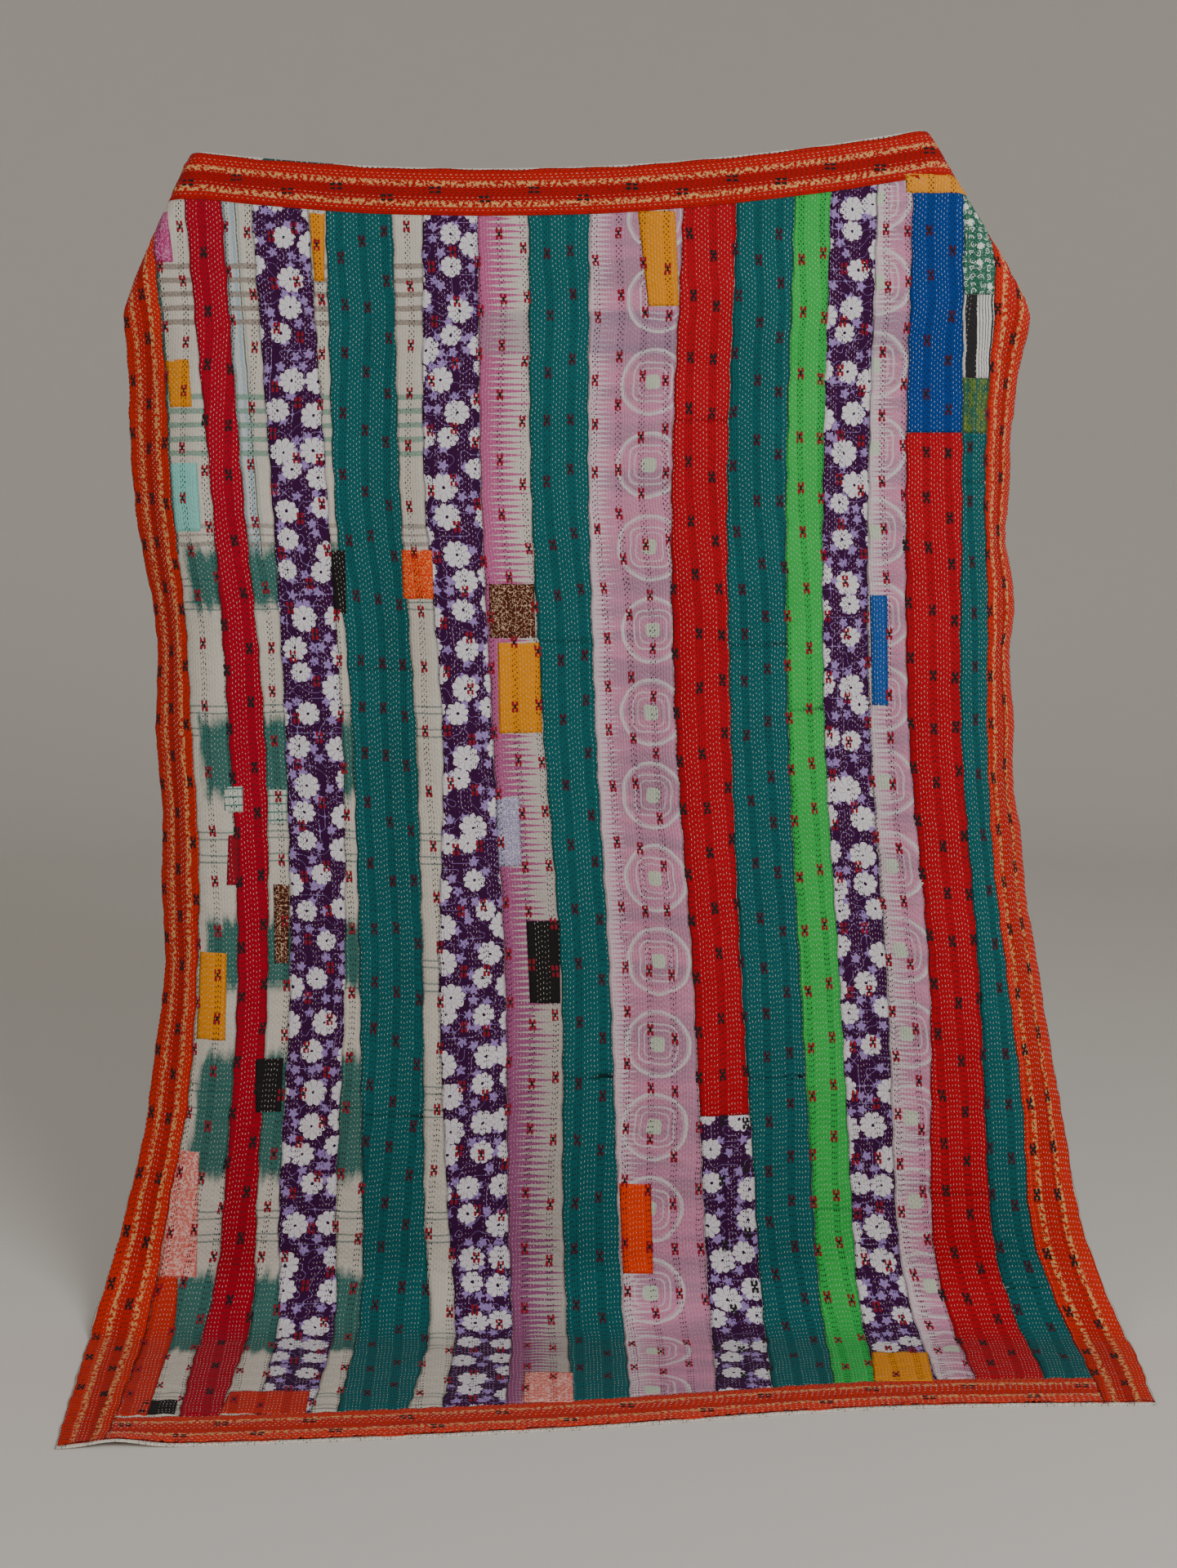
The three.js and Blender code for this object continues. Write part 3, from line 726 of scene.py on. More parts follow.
def floral(n):
    """Deep purple cotton with white nine-petalled flowers, lilac five-lobed leaves and thin curling stems."""
    # stems: the contour line of a noise, which curls but never ends
    noise = n("TexNoise", n("UVMap", uv_map="cloth"), named={"Scale": 55, "Detail": 0})
    painted = n("Mix RGBA", n("Math COMPARE", noise, 0.5, 0.010), "#390A3D", "#8771A8")
    # leaves: five lobes in small cells, though not in all of them
    distance, angle, chance = cell_place(n, 22, 0.8)
    lobe = n("Math PINGPONG", n("Math MULTIPLY", angle, 5 / (2 * math.pi)), 0.5)
    leaf = n("Math LESS_THAN", distance, n("Math MULTIPLY_ADD", lobe, -9.0 * MM, 8.8 * MM))
    leaf = n("Math MULTIPLY", leaf, n("Math GREATER_THAN", chance, 0.38))
    painted = n("Mix RGBA", leaf, painted, "#9379B5")
    # flowers: nine petals in large cells, each as big as its cell's number says
    distance, angle, chance = cell_place(n, 53, 0.6)
    petal = n("Math ABSOLUTE", n("Math SINE", n("Math MULTIPLY", angle, 4.5)))
    size = n("Math MULTIPLY_ADD", chance, 6.0 * MM, 15.5 * MM)
    edge = n("Math MULTIPLY", size, n("Math MULTIPLY_ADD", n("Math POWER", petal, 0.45), 0.34, 0.70))
    painted = n("Mix RGBA", n("Math LESS_THAN", distance, edge), painted, "#D6D1D6")
    # the veins between the petals, and the dark heart
    vein = n("Math MULTIPLY", n("Math LESS_THAN", petal, 0.17), n("Math COMPARE", distance, 12.0 * MM, 6.5 * MM))
    painted = n("Mix RGBA", n("Math MULTIPLY", vein, 0.6), painted, "#6B4C84")
    return n("Mix RGBA", n("Math LESS_THAN", distance, 2.4 * MM), painted, "#2C1238")


def scrolls(n):
    """Bottle green cotton with white curls and a few daisies."""
    # curls: rings with a gap, each round a spot
    distance, angle, chance = cell_place(n, 12.5, 0.45)
    gap = n("Math GREATER_THAN", n("Math SINE", angle), -0.6)
    curl = n("Math MULTIPLY", n("Math COMPARE", distance, 3.6 * MM, 0.65 * MM), gap)
    spot = n("Math COMPARE", distance, 0.0, 1.0 * MM)
    # daisies of eight petals in one cell of seven, and specks that roughen the ground
    petal = n("Math ABSOLUTE", n("Math SINE", n("Math MULTIPLY", angle, 4.0)))
    daisy = n("Math LESS_THAN", distance, n("Math MULTIPLY_ADD", petal, 2.6 * MM, 3.6 * MM))
    daisy = n("Math MULTIPLY", daisy, n("Math GREATER_THAN", chance, 0.86))
    speck = n("Math GREATER_THAN", n("TexNoise", n("UVMap", uv_map="cloth"), named={"Scale": 420}), 0.62)
    small = n("Math MAXIMUM", daisy, n("Math MULTIPLY", speck, 0.25))
    shown = n("Math MAXIMUM", n("Math MAXIMUM", curl, spot), small)
    return n("Mix RGBA", shown, "#2A6350", "#D6DDD3")


# %% Small prints and stripes
def curled(ground, figure, spacing, width):
    """A small curling print: the contour lines of a noise."""
    def paint(n):
        noise = n("TexNoise", n("UVMap", uv_map="cloth"), named={"Scale": 1 / (spacing * MM), "Detail": 1.5})
        return n("Mix RGBA", n("Math COMPARE", noise, 0.5, width), ground, figure)
    return paint


def striped(n):
    """Charcoal and white stripes down the strip."""
    over, _ = place_on(n, "piece")
    stripes = [(13, 9, "#2B2A2B", 1.0), (46, 1.6, "#3A3B42", 1.0)]
    stripes += [(26 + 4.6 * i, 0.8, "#5E5E62", 0.9) for i in range(4)]
    return lined(n, "#D3D0CC", over, stripes)


def olive_ikat(n):
    """Olive and green that run into each other along the threads."""
    return n("Mix RGBA", n("MapRange", streaks(n, 130, 45, 3), 0.46, 0.56, 0.0, 1.0), "#2C5B49", "#5A7030")


def scrap_plaid(n):
    """Pale cotton with green checks."""
    over, down = place_on(n, "cloth")
    warp, weft = (n("Math FRACT", n("Math DIVIDE", at, size * MM)) for at, size in ((over, 7), (down, 13)))
    painted = n("Mix RGBA", n("Math LESS_THAN", warp, 0.28), "#C6C6BC", "#8FA79B")
    return n("Mix RGBA", n("Math LESS_THAN", weft, 0.2), painted, "#5C8279")


# %% Sari borders
GOLD_ROUGHNESS = 0.75       # metal thread lies smoother than cotton


def gold_border(outer, inner):
    """A sari border: two brocaded bands of gold thread with deeper red between them."""
    def paint(n):
        over, down = place_on(n, "piece")
        painted = lined(n, outer, over, [(41, 12, inner, 0.9)])
        fleck = n("TexNoise", n("UVMap", uv_map="piece"), named={"Scale": 1 / (5.2 * MM), "Detail": 2})
        zigzag = n("Math PINGPONG", n("Math DIVIDE", down, 6.5 * MM), 1.0)
        for middle, half in ((25, 3.8), (57, 4.2)):
            inside = band(n, over, middle, half, 1.6)
            shine = n("Math GREATER_THAN", n("Math MULTIPLY_ADD", zigzag, 0.07, fleck), 0.54)
            shade = n("Math LESS_THAN", fleck, 0.43)
            painted = n("Mix RGBA", n("Math MULTIPLY", inside, shine), painted, "#D2975C")
            shaded = n("Math MULTIPLY", n("Math MULTIPLY", inside, shade), 0.35)
            painted = n("Mix RGBA", shaded, painted, "#6A2214")
        return painted
    return paint


# %% The cloths
# finish: slot, what the cloth is, its colour or the function that draws it, and its roughness if it isn't 0.9
FINISHES = {
    # dyed in the piece: one deep colour, which reads as cloth by its thick threads, faded places and puckers
    "teal": ("teal_cotton", "teal handloom cotton, piece dyed", "#09585B"),
    "crimson": ("crimson_cotton", "crimson handloom cotton, piece dyed", "#A00822"),
    "red": ("red_cotton", "red handloom cotton, piece dyed", "#AA0B1C"),
    "green": ("green_cotton", "leaf green mill cotton, piece dyed", "#2FA849"),
    "blue": ("blue_cotton", "royal blue mill cotton, piece dyed", "#073A80"),
    "mustard": ("mustard_cotton", "mustard cotton, piece dyed", "#D8860C"),
    "orange": ("mustard_cotton", "flame orange cotton, piece dyed", "#E03A06"),
    "orange_arch": ("mustard_cotton", "amber cotton, piece dyed", "#D98B22"),
    "aqua": ("green_cotton", "aqua cotton, piece dyed", "#7FC6BC"),
    "black": ("black_white_stripe", "black cotton, piece dyed", "#1E1B1C"),
    "red_scrap": ("red_cotton", "plain red cotton, piece dyed", "#BA2A20"),
    "crimson_scrap": ("crimson_cotton", "deep crimson cotton, piece dyed", "#8E1424"),
    "blue_scrap": ("blue_cotton", "blue cotton, piece dyed", "#1D4F96"),
    # undyed and woven with thin lines: a warm grey white, under clouds of green that soaked in and have soft ends
    "cream_left": ("cream_cotton", "undyed cotton, woven plaid, green washes",
                   partial(cream, wash_from=16, stripes=LEFT_EDGE)),
    "cream_plaid": ("cream_cotton", "undyed cotton, woven plaid, blue stripes", partial(cream, stripes=BLUE_STRIPES)),
    "cream_narrow": ("cream_cotton", "undyed cotton, woven plaid", cream),
    "cream_middle": ("cream_cotton", "undyed cotton, woven plaid, faint washes", partial(cream, wash_to=8, wash=0.5)),
    "striped": ("black_white_stripe", "charcoal and white striped cotton", striped),
    "plaid_scrap": ("green_print", "green checked cotton", scrap_plaid),
    # ikat, whose threads were dyed before they were woven: two colours meet in feathered teeth
    "mauve": ("mauve_ikat", "mauve and grey ikat cotton", mauve_ikat),
    "olive": ("olive_ikat", "olive and green ikat cotton", olive_ikat),
    # printed: hard-edged figures a little out of true, as a block leaves them
    "rings_1": ("pink_ikat", "dusty pink cotton, printed rings",
                partial(rings, centre=884.5, first=340, pitch=129.5, lean=-0.0425)),
    "rings_2": ("pink_ikat", "dusty pink cotton, printed rings, second cut",
                partial(rings, centre=1226, first=182, pitch=131, lean=0.0)),
    "purple": ("purple_print", "purple cotton, printed flowers", floral),
    "scrolls": ("green_print", "bottle green cotton, printed scrolls", scrolls),
    "magenta": ("pink_ikat", "magenta cotton, printed vine", curled("#B03F78", "#CB7FA4", 9, 0.03)),
    "brown": ("red_cotton", "brown cotton, printed curls", curled("#4E2012", "#BE9F82", 7.5, 0.022)),
    "salmon": ("pink_ikat", "salmon cotton, printed leaves", curled("#D56F66", "#E2AFA4", 8, 0.05)),
    "lilac": ("pink_ikat", "lilac cotton, printed specks", curled("#8B80A6", "#C9C4D2", 3.5, 0.04)),
    "orange_print": ("mustard_cotton", "orange red cotton, printed vine", curled("#DA3410", "#E8853A", 5, 0.03)),
    # sari borders: red with bands of metal thread, a little smoother than cotton, so they catch a dull glint
    "border": ("border_sari", "red cotton sari border, gold thread bands", gold_border("#AE1610", "#9C0F0E"),
               GOLD_ROUGHNESS),
    # a paler red than the top border
    "border_foot": ("border_sari", "red cotton sari border, gold thread bands, worn paler",
                    gold_border("#CC3420", "#B8261A"), GOLD_ROUGHNESS),
    "border_side": ("border_sari", "orange cotton sari border, gold thread bands",
                    gold_border("#C22613", "#B01B12"), GOLD_ROUGHNESS),
}
SLOTS = {finish: slot for finish, (slot, *_) in FINISHES.items()}
CLOTHS = {finish: cotton(name, *looks) for finish, (_, name, *looks) in FINISHES.items()}
print("cloths:", len(CLOTHS))

# %% [markdown]
# ## Strips and borders
# Each strip is its own piece of cloth, sewn down beside its neighbours with its edges turned under. The sheet
# maker drapes them one by one, and each stands in for the plain solid of the same name.


# %% Ends, and laying a sheet
def level_at(value):
    """An end of a sheet that lies on one level."""
    return lambda across: np.full_like(across, float(value))


def top_seam(across):
    """The level where the top border is sewn to the strips."""
    return top_level(across) + TOP_BORDER


def foot_seam(across):
    """The level where the foot border is sewn to them."""
    return foot_level(across) - FOOT_BORDER


def lay(name, finish, across, level, height, node=None, rests="backing", **shape):
    """Makes a sheet, gives it its cloth, hides the solid that it stands for, and attaches it to the root body."""
    made = sheet(name, across, level, height, **shape)
    made.data.materials.append(CLOTHS[finish])
    s = flat(across, level)
    if node:
        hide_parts(node)
    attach(made, "root")
    return made


# %% The lengths of cloth
EDGE_CUTS = (203, 333, 419)     # levels where the four lengths at the right edge meet
RED_CUT = 1487                  # level where the red strip gives way to a purple foot
# name, place, cloth, and the level where a length of cloth begins and ends, if that isn't at both borders
STRIPS = [
    ("cream_left", "cream_left", "cream_left"),
    ("crimson", "crimson", "crimson"),
    ("cream_plaid", "cream_plaid", "cream_plaid"),
    ("purple_floral_1", "purple_1", "purple"),
    ("cream_narrow", "cream_narrow", "cream_narrow"),
    ("teal_1", "teal_1", "teal"),
    ("cream_middle", "cream_middle", "cream_middle"),
    ("purple_floral_2", "purple_2", "purple"),
    ("mauve_ikat", "mauve", "mauve"),
    ("teal_2", "teal_2", "teal"),
    ("pink_rings_1", "rings_1", "rings_1"),
    ("red_1", "red_1", "red", None, RED_CUT),
    ("purple_floral_foot", "red_1", "purple", RED_CUT, None),
    ("teal_3", "teal_3", "teal"),
    ("green", "green", "green"),
    ("purple_floral_3", "purple_3", "purple"),
    ("pink_rings_2", "rings_2", "rings_2"),
    ("blue", "blue", "blue", None, EDGE_CUTS[2]),
    ("red_2", "blue", "red", EDGE_CUTS[2], None),
    ("green_print", "edge_prints", "scrolls", None, EDGE_CUTS[0]),
    ("black_white", "edge_prints", "striped", *EDGE_CUTS[:2]),
    ("olive_ikat", "edge_prints", "olive", *EDGE_CUTS[1:]),
    ("teal_edge", "edge_prints", "teal", EDGE_CUTS[2], None),
]
# levels where a strip was pieced from shorter lengths, and the dip there
JOINS = {"teal_1": (790, 1488), "teal_2": (746, 1432), "red_1": (400,), "green": (854, 1636), "teal_3": (752, 1430),
         "red_2": (1610,), "teal_edge": (496, 1756)}
JOIN_DIP, JOIN_WIDTH = 0.7, 5
RIM = GROUND / 2 + 0.15     # a turned edge ends just over the ground cloth
INSET = 0.004               # of a piece's width, so that neighbours don't touch
GAP = 0.3                   # the same between two lengths in one strip, in millimetres
for name, place, finish, *ends in STRIPS:
    k, (top, foot) = PLACE[place], ends or (None, None)
    top = top_seam if top is None else level_at(top + GAP)
    foot = foot_seam if foot is None else level_at(foot - GAP)
    across, level = grid(k + INSET, k + 1 - INSET, top, foot)
    height = relief(across, level, False)
    joins = JOINS.get(name, ())
    for join in joins:      # the nearest row of places moves to the join
        level[np.abs(level[:, 0] - join).argmin()] = join
        height = height - JOIN_DIP * np.exp(-((level - join) / JOIN_WIDTH) ** 2)
    node = "strip_" + name
    lay("cloth_" + node, finish, across, level, height, node=node, rim=RIM, joins=joins)
print("strips laid:", len(STRIPS))

# %% Borders
RIGHT_END = LAST + 0.9999       # just inside the right edge
FOOT_PEEP = 3                   # how many times further the ground cloth peeps out at the foot
SIDE_SHORT = 7.5                # and how far past the ends of the side borders


def peep(run):
    """How far the ground cloth peeps out past a border, in millimetres."""
    return 2.0 + 0.9 * np.sin(run / 31) + 0.6 * np.sin(run / 13 + 1)


def border(node, finish, across, level, edge, **shape):
    """Lays a border: edge is the distance into its print."""
    height = relief(across, level, False)
    lay("cloth_" + node, finish, across, level, height, node=node, rim=RIM, edge=edge, **shape)


across, level = grid(0.0, RIGHT_END, top_level, top_seam)
edge = level - top_level(across)
level[0] += peep(flat(across[0], level[0]))
border("border_top", "border", across, level, edge, turned=True)
across, level = grid(1 + INSET, LAST - INSET, foot_seam, foot_level)
edge = (foot_level(across) - level) * TOP_BORDER / FOOT_BORDER
level[-1] -= FOOT_PEEP * (1 + peep(flat(across[-1], level[-1]) + 90))
border("border_foot", "border_foot", across, level, edge, turned=True)
for node, k, ends, outer, inward in (
    ("border_left", 0, (0, 1 - INSET), 0, 1),
    ("border_right", LAST, (LAST + INSET, RIGHT_END), -1, -1),
):
    across, level = grid(*ends, top_seam, foot_level)
    edge = (LAST + 1 - across if k else across) * TOP_BORDER
    across[:, outer] += inward * peep(level[:, outer] + 40 * k) / TOP_BORDER
    level[-1] -= SIDE_SHORT
    border(node, "border_side", across, level, edge)
print("borders laid")

# %% [markdown]
# ## The backing
# The ground cloth shows as the whole back of the quilt, and as a pale wavy line where it peeps out past the
# borders. It is one closed sheet, two layers with a rim. The rows of running stitch come through it, so its
# back repeats their marks: drawn in the finish here, because no one sees them closely.


# %% Backing
# flat middle and half width, middle level and half height, colour: coloured scraps that show at the very edge
GLIMPSES = [(310, 55, 0, 14, "#1F4F4C"), (70, 40, 2120, 20, "#2E6B5A"), (430, 30, 2130, 22, "#3A7A62"),
            (1480, 12, 1330, 60, "#A2557E")]


def backing_print(n):
    """Off-white cotton with the back of every stitch on it: plain, so that the eye reads only the sewing."""
    over, down = place_on(n, "cloth")
    row, along = on_rows(n, over, down)
    stitch = n("Math LESS_THAN", n("Math PINGPONG", n("Math ADD", along, 0.5), 0.5), 0.24)
    stitch = n("Math MULTIPLY", stitch, n("Math LESS_THAN", n("Math PINGPONG", row, 0.5), 0.13))
    group = n("Math DIVIDE", n("Math SUBTRACT", over, DARK_START * MM), GROUP * MM)
    dark = n("Math COMPARE", n("Math PINGPONG", group, 0.5), 0.0, 1.5 / GROUP_ROWS)
    yarn = n("Mix RGBA", dark, "#F2EEE6", "#5B4A50")
    painted = "#D2CBBE"
    for s, half, level, reach, code in GLIMPSES:
        inside = n("Math MULTIPLY", n("Math COMPARE", over, s * MM, half * MM),
                   n("Math COMPARE", down, level * MM, reach * MM))
        painted = n("Mix RGBA", inside, painted, code)
    return n("Mix RGBA", n("Math MULTIPLY", stitch, 0.8), painted, yarn)


SLOTS["backing"] = "ground_cotton"
CLOTHS["backing"] = cotton("off-white ground cotton, stitched through", backing_print)
across, level = grid(0.0, RIGHT_END, top_level, foot_level, cell=11)
back = lay("backing", "backing", across, level, np.full_like(across, GROUND / 2), node="ground_cloth",
           rests="cloth_border_top", facing=-1)
solid = back.modifiers.new("two layers", "SOLIDIFY")
solid.thickness, solid.offset = GROUND * MM, -1.0
print("backing laid")

# %% [markdown]
# ## Patches
# Where a strip wore through, a scrap was laid over the hole and stitched down with the rest. Each patch is a
# small sheet on top of its strip. The relief already rises under it, so it needs no height of its own.

# %% Patches
CELL = 5                            # size of a patch's faces, in millimetres
PATCH_RIM = SKIN - 0.2              # where its turned edge ends, just in the cloth under it
INNER_V, INNER_U = 0.02, 0.03       # its outline takes its height from a little inside
UNDER = {place: "cloth_strip_" + name for name, place, *_ in reversed(STRIPS)}      # the upper piece at each place
for number, (place, finish, left, right, foot_left, foot_right, top, foot) in enumerate(PATCHES, 1):
    rows, columns = (max(4, round(size / CELL)) for size in (foot - top, right - left))
    v, u = np.linspace(0, 1, rows)[:, None], np.linspace(0, 1, columns)[None, :]
    level = top + (foot - top) * v + 0 * u
    low, high = left + (foot_left - left) * v, right + (foot_right - right) * v
    across = np.clip(across_at(low + (high - low) * u, level), 1.01, LAST - 0.01)
    inner_v, inner_u = np.clip(v, INNER_V, 1 - INNER_V), np.clip(u, INNER_U, 1 - INNER_U)
    height = relief(across_at(low + (high - low) * inner_u, top + (foot - top) * inner_v + 0 * u), level)
    lay(f"patch_{number}_{finish}", finish, across, level, height, rim=PATCH_RIM, rests=UNDER[place])
print("patches:", len(PATCHES))

# %% [markdown]
# ## Running stitches
# Well over a hundred thousand stitches hold such a quilt together, and nearly ninety thousand, drawn a little
# longer, stand for them here. Modelling each by hand is out of the question, and a bump map can't give their
# raised dashes, so Geometry Nodes sew them. Every row is a line on the cloth that carries the cloth's outward
# direction. The tree turns the lines to curves, steps along them one pitch at a time, sets a small four-faced
# stitch on each step, and turns it to lie along its row.


# %% The stitch tree
def stitch_tree():
    """The tree, and its inputs' identifiers by name."""
    tree = bpy.data.node_groups.new("running stitch", "GeometryNodeTree")
    sockets = [("Geometry", "INPUT", "Geometry"), ("Pitch", "INPUT", "Float"), ("Length", "INPUT", "Float"),
               ("Width", "INPUT", "Float"), ("Rise", "INPUT", "Float"), ("Seed", "INPUT", "Int"),
               ("Thread", "INPUT", "Material"), ("Geometry", "OUTPUT", "Geometry")]
    inputs = {}
    for name, way, kind in sockets:
        made = tree.interface.new_socket(name, in_out=way, socket_type="NodeSocket" + kind)
        inputs.setdefault(name, made.identifier)
    n = partial(add, tree)
    given = n("NodeGroupInput")
    rows = n("GeometryNodeMeshToCurve", given.outputs["Geometry"])
    steps = n("GeometryNodeResampleCurve", rows, mode="LENGTH", named={"Length": given.outputs["Pitch"]})
    # a four-sided cone without a base, as wide as 1: a raised dash has no need of more faces
    cone = n("GeometryNodeMeshCone", fill_type="NONE",
             named={"Vertices": 4, "Radius Top": 0.0, "Radius Bottom": 0.5**0.5, "Depth": 1.0})
    square = n("GeometryNodeTransform", cone, named={"Rotation": (0, 0, math.pi / 4)})
    size = n("CombineXYZ", given.outputs["Length"], given.outputs["Width"], given.outputs["Rise"])
    stitch = n("GeometryNodeTransform", square, named={"Scale": size})
    # its point stands out of the cloth, and its length lies along the row
    out = n("GeometryNodeInputNamedAttribute", data_type="FLOAT_VECTOR", named={"Name": "out"})
    upright = n("FunctionNodeAlignRotationToVector", axis="Z", named={"Vector": out})
    turned = n("FunctionNodeAlignRotationToVector", axis="X", pivot_axis="Z",
               named={"Rotation": upright, "Vector": n("GeometryNodeInputTangent")})
    uneven = n("FunctionNodeRandomValue", data_type="FLOAT",
               named={"Min": 0.75, "Max": 1.25, "Seed": given.outputs["Seed"]})
    sewn = n("GeometryNodeInstanceOnPoints", steps, named={"Instance": stitch, "Rotation": turned, "Scale": uneven})
    real = n("GeometryNodeRealizeInstances", sewn)
    n("NodeGroupOutput", n("GeometryNodeSetMaterial", real, named={"Material": given.outputs["Thread"]}))
    return tree, inputs


STITCHES, STITCH_INPUTS = stitch_tree()
print("stitch tree:", len(STITCHES.nodes), "nodes")


# %% Sewing along lines
def sew(name, points, out, spool, width, seed, pitch=PITCH, length=2.4, rise=0.4):
    """Sews along lines: points and out are arrays of lines, points on each line, and three numbers."""
    lines, count, _ = points.shape
    mesh = bpy.data.meshes.new(name)
    first = np.arange(lines * count).reshape(lines, count)
    edges = np.stack([first[:, :-1].ravel(), first[:, 1:].ravel()], -1)
    mesh.from_pydata((points.reshape(-1, 3) * MM).tolist(), edges.tolist(), [])
    mesh.attributes.new("out", "FLOAT_VECTOR", "POINT").data.foreach_set("vector", out.ravel())
    holder = link(name + "_rows", mesh)
    sewing = holder.modifiers.new("sewing", "NODES")
    sewing.node_group = STITCHES
    for key, value in {"Pitch": pitch * MM, "Length": length * MM, "Width": width * MM, "Rise": rise * MM,
                       "Seed": seed, "Thread": spool}.items():
        sewing[STITCH_INPUTS[key]] = value
    graph = bpy.context.evaluated_depsgraph_get()
    made = bpy.data.meshes.new_from_object(holder.evaluated_get(graph))
    holder.modifiers.remove(sewing)
    bpy.data.objects.remove(holder)
    piece = link(name, made)
    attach(piece, "root")
    print(name, len(made.polygons), "faces")


# %% Thread
def thread(name, code):
    """Six-strand cotton thread: a soft matt yarn whose even colour stands out from the worn cloth."""
    return material(name, lambda n: {"Base Color": code, "Roughness": 0.8, "Sheen Weight": 0.05,
                                     "Specular IOR Level": 0.15})


PALE = thread("unbleached cotton thread", "#D2CDBF")
DARK = thread("black cotton thread", "#221D20")
RED = thread("madder red cotton thread", "#8E1226")
PLUM = thread("dark plum cotton thread", "#4A1626")
print("threads:", ", ".join(spool.name for spool in (PALE, DARK, RED, PLUM)))

# %% Rows down the quilt
OVER = 0.12         # how far a stitch's foot is above the cloth, in millimetres
STEP = 8.0          # between the points of a row
NEAR_TOP, NEAR_FOOT = 70.0, 2050.0      # levels where a row's place at its two ends is read
BEHIND = np.arange(-100.0, WIDTH + 100)


def over_cloth(across, level):
    """Points just over the cloth, and the way out of it there."""
    out = outward(across, level)
    return surface(across, level) + out * (relief(across, level) + OVER)[..., None], out


def end_at(level_of, across):
    """The level, at one place across, of an end that is given as a function."""
    return float(level_of(np.array([across]))[0])


def triple_place(run):
    """The place on the flat cloth that is this far past the first dark triple."""
    return np.interp(run, past_triple(BEHIND), BEHIND)


def row_places(size, start=None):
    """Where the rows lie over a width, down the quilt or from a triple at start; which are dark, which odd."""
    number = np.arange(-2 * GROUP_ROWS, int(size / GROUP + 2) * GROUP_ROWS)
    place = GROUP * (number // GROUP_ROWS) + ROWS[number % GROUP_ROWS]
    place = triple_place(place) if start is None else place + start
    inside = (place > 2) & (place < size - 2)
    return place[inside], (number % GROUP_ROWS < 3)[inside], (number % 2)[inside]


def rows_down(s, odd):
    """Lines down the cloth at these places, the odd ones started half a stitch lower."""
    table = np.stack([np.interp(s, FLAT_GRID[:, j], FINE) for j in range(len(LEVELS))], -1)
    count = int(LENGTH / STEP)
    across, level = np.zeros((len(s), count)), np.zeros((len(s), count))
    for r, places in enumerate(table):
        begin, end = np.interp((NEAR_TOP, NEAR_FOOT), LEVELS, places)
        on_side = begin < 1 or begin >= LAST
        top = end_at(top_seam, begin) + FIRST_ROW + odd[r] * PITCH / 2
        foot = end_at(foot_level if on_side else foot_seam, end) - FIRST_ROW
        level[r] = np.linspace(top, foot, count)
        across[r] = np.interp(level[r], LEVELS, places)
    return over_cloth(across, level)


def rows_over(distances, odd, from_foot):
    """Lines across the quilt at these distances in from its top edge, or its foot."""
    count = int(WIDTH / STEP)
    sides, where = ((1.02, LAST - 0.02), 2100.0) if from_foot else ((0.03, LAST + 0.97), 30.0)      # ends, level
    start, end = flat(np.array(sides), where)
    start = start + odd[:, None] * PITCH / 2
    across = np.clip(across_of_flat(start + (end - start) * np.linspace(0, 1, count), where), *sides)
    level = foot_level(across) - distances[:, None] if from_foot else top_level(across) + distances[:, None]
    return over_cloth(across, level)


# %% Sewing the rows
place, dark, odd = row_places(WIDTH)
# the rows are sewn in parts, so that no piece grows too heavy
for name, chosen, spool, width, parts in (("pale", ~dark, PALE, 0.6, 3), ("dark", dark, DARK, 1.5, 2)):
    for part in range(parts):
        some = np.flatnonzero(chosen)[part::parts]
        points, out = rows_down(place[some], odd[some])
        sew(f"stitches_{name}_{part + 1}", points, out, spool, width=width, seed=part + 3)
for name, size, from_foot, slim in (("top", TOP_BORDER, False, 1.0), ("foot", FOOT_BORDER, True, 0.6)):
    place, dark, odd = row_places(size, FIRST_ROW)
    place, dark, odd = (np.append(rows, last) for rows, last in ((place, size - 1), (dark, True), (odd, 1)))
    for shade, chosen, spool, width in (("pale", ~dark, PALE, 0.6), ("dark", dark, DARK, 1.2)):
        points, out = rows_over(place[chosen], odd[chosen], from_foot)
        sew(f"stitches_{name}_{shade}", points, out, spool, width=width * slim, seed=9)

# %% [markdown]
# ## Crosses
# On each dark triple row sits a chain of small crosses: four short bars of thread round a black heart. The bars
# are madder red on pale and printed cloth, plum on teal and blue, and black on red, where red wouldn't show.
# They come from the same stitch tree, sewn along very short lines.

# %% Crosses on the dark rows
BAR = 4.4                                   # length of the line that a bar is sewn along, in millimetres
BARS = [(up, over) for up in (-5.2, 5.2) for over in (-3.3, 3.3)]       # where the four bars are
HEART = [(0, 0)]
FIRST_CROSS, NEXT_CROSS, LAST_CROSS = (95, 165), (68, 104), 2080        # levels, and the way from one to the next
OFF_ROW = 1.0                               # how far the hand misses the row
FROM_EDGE, FROM_FOOT = 8, 14                # the last crosses are at least this far in
PRINTED_TO = 345                            # the small prints at the right edge have no crosses above this level
TOP_CROSSES, FOOT_CROSSES = (49, 35), (56, 24)      # on the borders: how far in from the edge, in turn
ALONG_TOP = np.arange(135, WIDTH - 90, 78)          # their places along the top border, on the flat cloth
ALONG_FOOT = np.linspace(1.2, LAST - 0.3, 19)       # and along the foot border, in pieces across
NAMES = list(PLACE)


def bars(centres, up, over, turned=False):
    """Short lines of two points, set off from their centres down (up) and across (over) the cloth, or turned."""
    across, level = centres[:, 0], centres[:, 1]
    s = flat(across, level) + (up if turned else over)
    ends = []
    for reach in (-BAR / 2, BAR / 2):
        at = level + (over if turned else up + reach)
        ends.append((np.array([across_of_flat(*end) for end in zip(s + (reach if turned else 0), at)]), at))
    across, level = (np.stack(parts, -1) for parts in zip(*ends))
    return over_cloth(across, level)


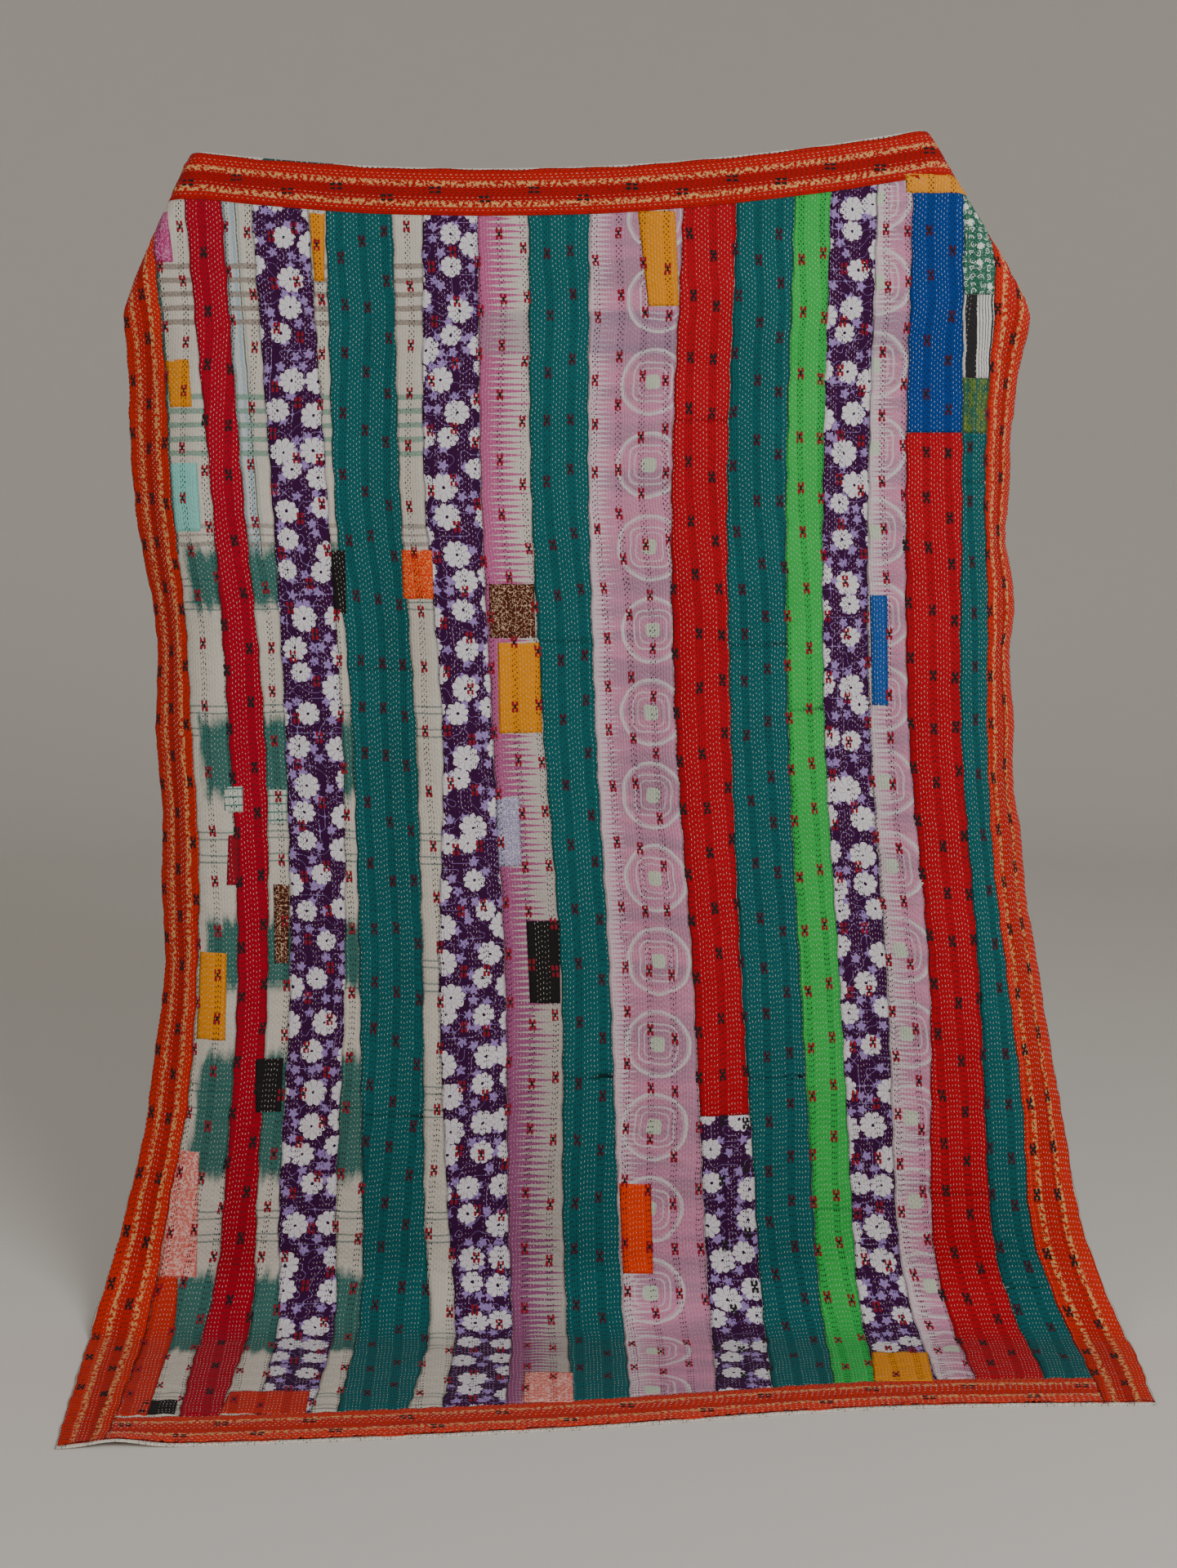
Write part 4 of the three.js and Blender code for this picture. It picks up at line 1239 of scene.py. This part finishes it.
def shade_on(across, level):
    """The colour of a cross's bars, by the cloth under them."""
    place, below = NAMES[int(across)], level > EDGE_CUTS[2]
    if place.startswith("teal") or (place == "blue" and not below) or (place == "edge_prints" and below):
        return "plum"
    return "black" if place in ("border_left", "border_right", "crimson", "red_1", "blue") else "red"


# %% Where the crosses are
rng = np.random.default_rng(21)
crosses = []
for group in range(int(WIDTH / GROUP) + 1):
    level = rng.uniform(*FIRST_CROSS)
    while level < LAST_CROSS:
        s = float(triple_place(group * GROUP)) + rng.uniform(-OFF_ROW, OFF_ROW)
        if s < WIDTH - FROM_EDGE:
            across = float(across_of_flat(s, level))
            foot = end_at(foot_seam if 1 <= across < LAST else foot_level, across)
            printed = NAMES[int(across)] == "edge_prints" and level < PRINTED_TO
            if level < foot - FROM_FOOT and not printed:
                crosses.append((across, level))
        level += rng.uniform(*NEXT_CROSS)
sideways = []
for number, s in enumerate(ALONG_TOP):
    across = float(across_of_flat(s, TOP_CROSSES[number % 2]))
    sideways.append((across, TOP_CROSSES[number % 2] + end_at(top_level, across)))
for number, across in enumerate(ALONG_FOOT):
    sideways.append((across, end_at(foot_level, across) - FOOT_CROSSES[number % 2]))
crosses, sideways = np.array(crosses), np.array(sideways)
print("crosses:", len(crosses), "and", len(sideways), "on the borders")

# %% Sewing the crosses
shades = np.array([shade_on(*cross) for cross in crosses])
for name, chosen, places, spool in (
    ("red", crosses[shades == "red"], BARS, RED),
    ("plum", crosses[shades == "plum"], BARS, PLUM),
    ("black", crosses[shades == "black"], BARS, DARK),
    ("heart", crosses, HEART, DARK),
):
    lines = [bars(chosen, *place) for place in places]
    if name == "black":
        lines += [bars(sideways, *place, turned=True) for place in places]
    points, out = (np.concatenate(parts) for parts in zip(*lines))
    sew("crosses_" + name, points, out, spool, pitch=2.1, length=3.3, width=3.6, rise=0.9, seed=5)

# %% [markdown]
# ## Floor, light and camera
# A pale matt floor sweeps up into a round wall, as a studio backdrop does, so no edge or shine draws the eye
# from the cloth. A large soft panel lights it from the front right, high up, a weaker one from the left lifts the
# shadows, and the sky fills the rest. The camera is level and its frame is shifted down, as with a shift lens,
# so the upright edges stay upright.

# %% Floor and light
FLOOR_REACH, SWEEP, WALL_TOP, TURNS = 4.6, 1.6, 6.5, 96         # metres, and faces round
SKY_STRENGTH = 0.52
profile = [(0.0, 0.0), (FLOOR_REACH / 2, 0.0), (FLOOR_REACH, 0.0)]
profile += [(FLOOR_REACH + SWEEP * math.sin(t), SWEEP * (1 - math.cos(t)))
            for t in np.linspace(0, math.pi / 2, 13)[1:]]
profile.append((FLOOR_REACH + SWEEP, WALL_TOP))
turns = np.linspace(0, 2 * math.pi, TURNS, endpoint=False)
points = [(r * math.cos(t), r * math.sin(t), z - HANG * MM) for r, z in profile for t in turns]
faces = [(a * TURNS + b, a * TURNS + (b + 1) % TURNS, (a + 1) * TURNS + (b + 1) % TURNS, (a + 1) * TURNS + b)
         for a in range(len(profile) - 1) for b in range(TURNS)]
mesh = bpy.data.meshes.new("floor")
mesh.from_pydata(points, [], [face[::-1] for face in faces])
mesh.shade_smooth()
paint = bpy.data.materials.new("pale matt studio floor")
paint.use_nodes = True
paint.node_tree.nodes["Principled BSDF"].inputs["Base Color"].default_value = colour("#D8D4CE")
paint.node_tree.nodes["Principled BSDF"].inputs["Roughness"].default_value = 0.9
link("floor", mesh, paint)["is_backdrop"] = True

world = bpy.data.worlds.new("soft sky")
world.use_nodes = True
world.node_tree.nodes["Background"].inputs[0].default_value = colour("#D9D6D1")
world.node_tree.nodes["Background"].inputs[1].default_value = SKY_STRENGTH
SCENE.world = world


def panel(name, at, aim, size, power):
    """A square of soft light that faces a point."""
    lamp = bpy.data.lights.new(name, "AREA")
    lamp.size, lamp.energy = size, power
    made = bpy.data.objects.new(name, lamp)
    made.location = at
    away = np.subtract(at, aim)
    tilt = math.atan2(math.hypot(away[0], away[1]), away[2])
    made.rotation_euler = (tilt, 0, math.atan2(away[1], away[0]) + math.pi / 2)
    SCENE.collection.objects.link(made)


MIDDLE = (0, 0, -0.9)
panel("key panel", (2.2, -3.6, 1.2), MIDDLE, 2.0, 138)
panel("fill panel", (-3.0, -3.0, 0.4), MIDDLE, 2.5, 30)
print("floor faces:", len(faces))

# %% Camera
FRAME_HEIGHT, FOCAL_PIXELS, HORIZON_ROW = 1920, 2344, 660       # in pixels of the rendered frame
lens = bpy.data.cameras.new("camera")
lens.sensor_width = 36
lens.lens = lens.sensor_width * FOCAL_PIXELS / FRAME_HEIGHT
lens.shift_y = -(FRAME_HEIGHT / 2 - HORIZON_ROW) / FRAME_HEIGHT
camera = bpy.data.objects.new("camera", lens)
camera.location = (0.026, -3.0, -0.585)
camera.rotation_euler = (math.pi / 2, 0, 0)
SCENE.collection.objects.link(camera)
SCENE.camera = camera
print(f"camera {-camera.location.y:.1f} m in front, lens {lens.lens:.0f} mm")

# %% [markdown]
# ## Two boxes to compare
# Cloth may stand a little proud of the solids that it dresses, but only a little. The box round the solids and
# the box round the dressed quilt are written side by side, so that they can be compared after each run.

# %% Sizes, and the end
plain = lambda box: [[float(v) for v in corner] for corner in box]
{"cad": plain(CAD_BOX), "scene": plain(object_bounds())}
print("box", plain(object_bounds()))
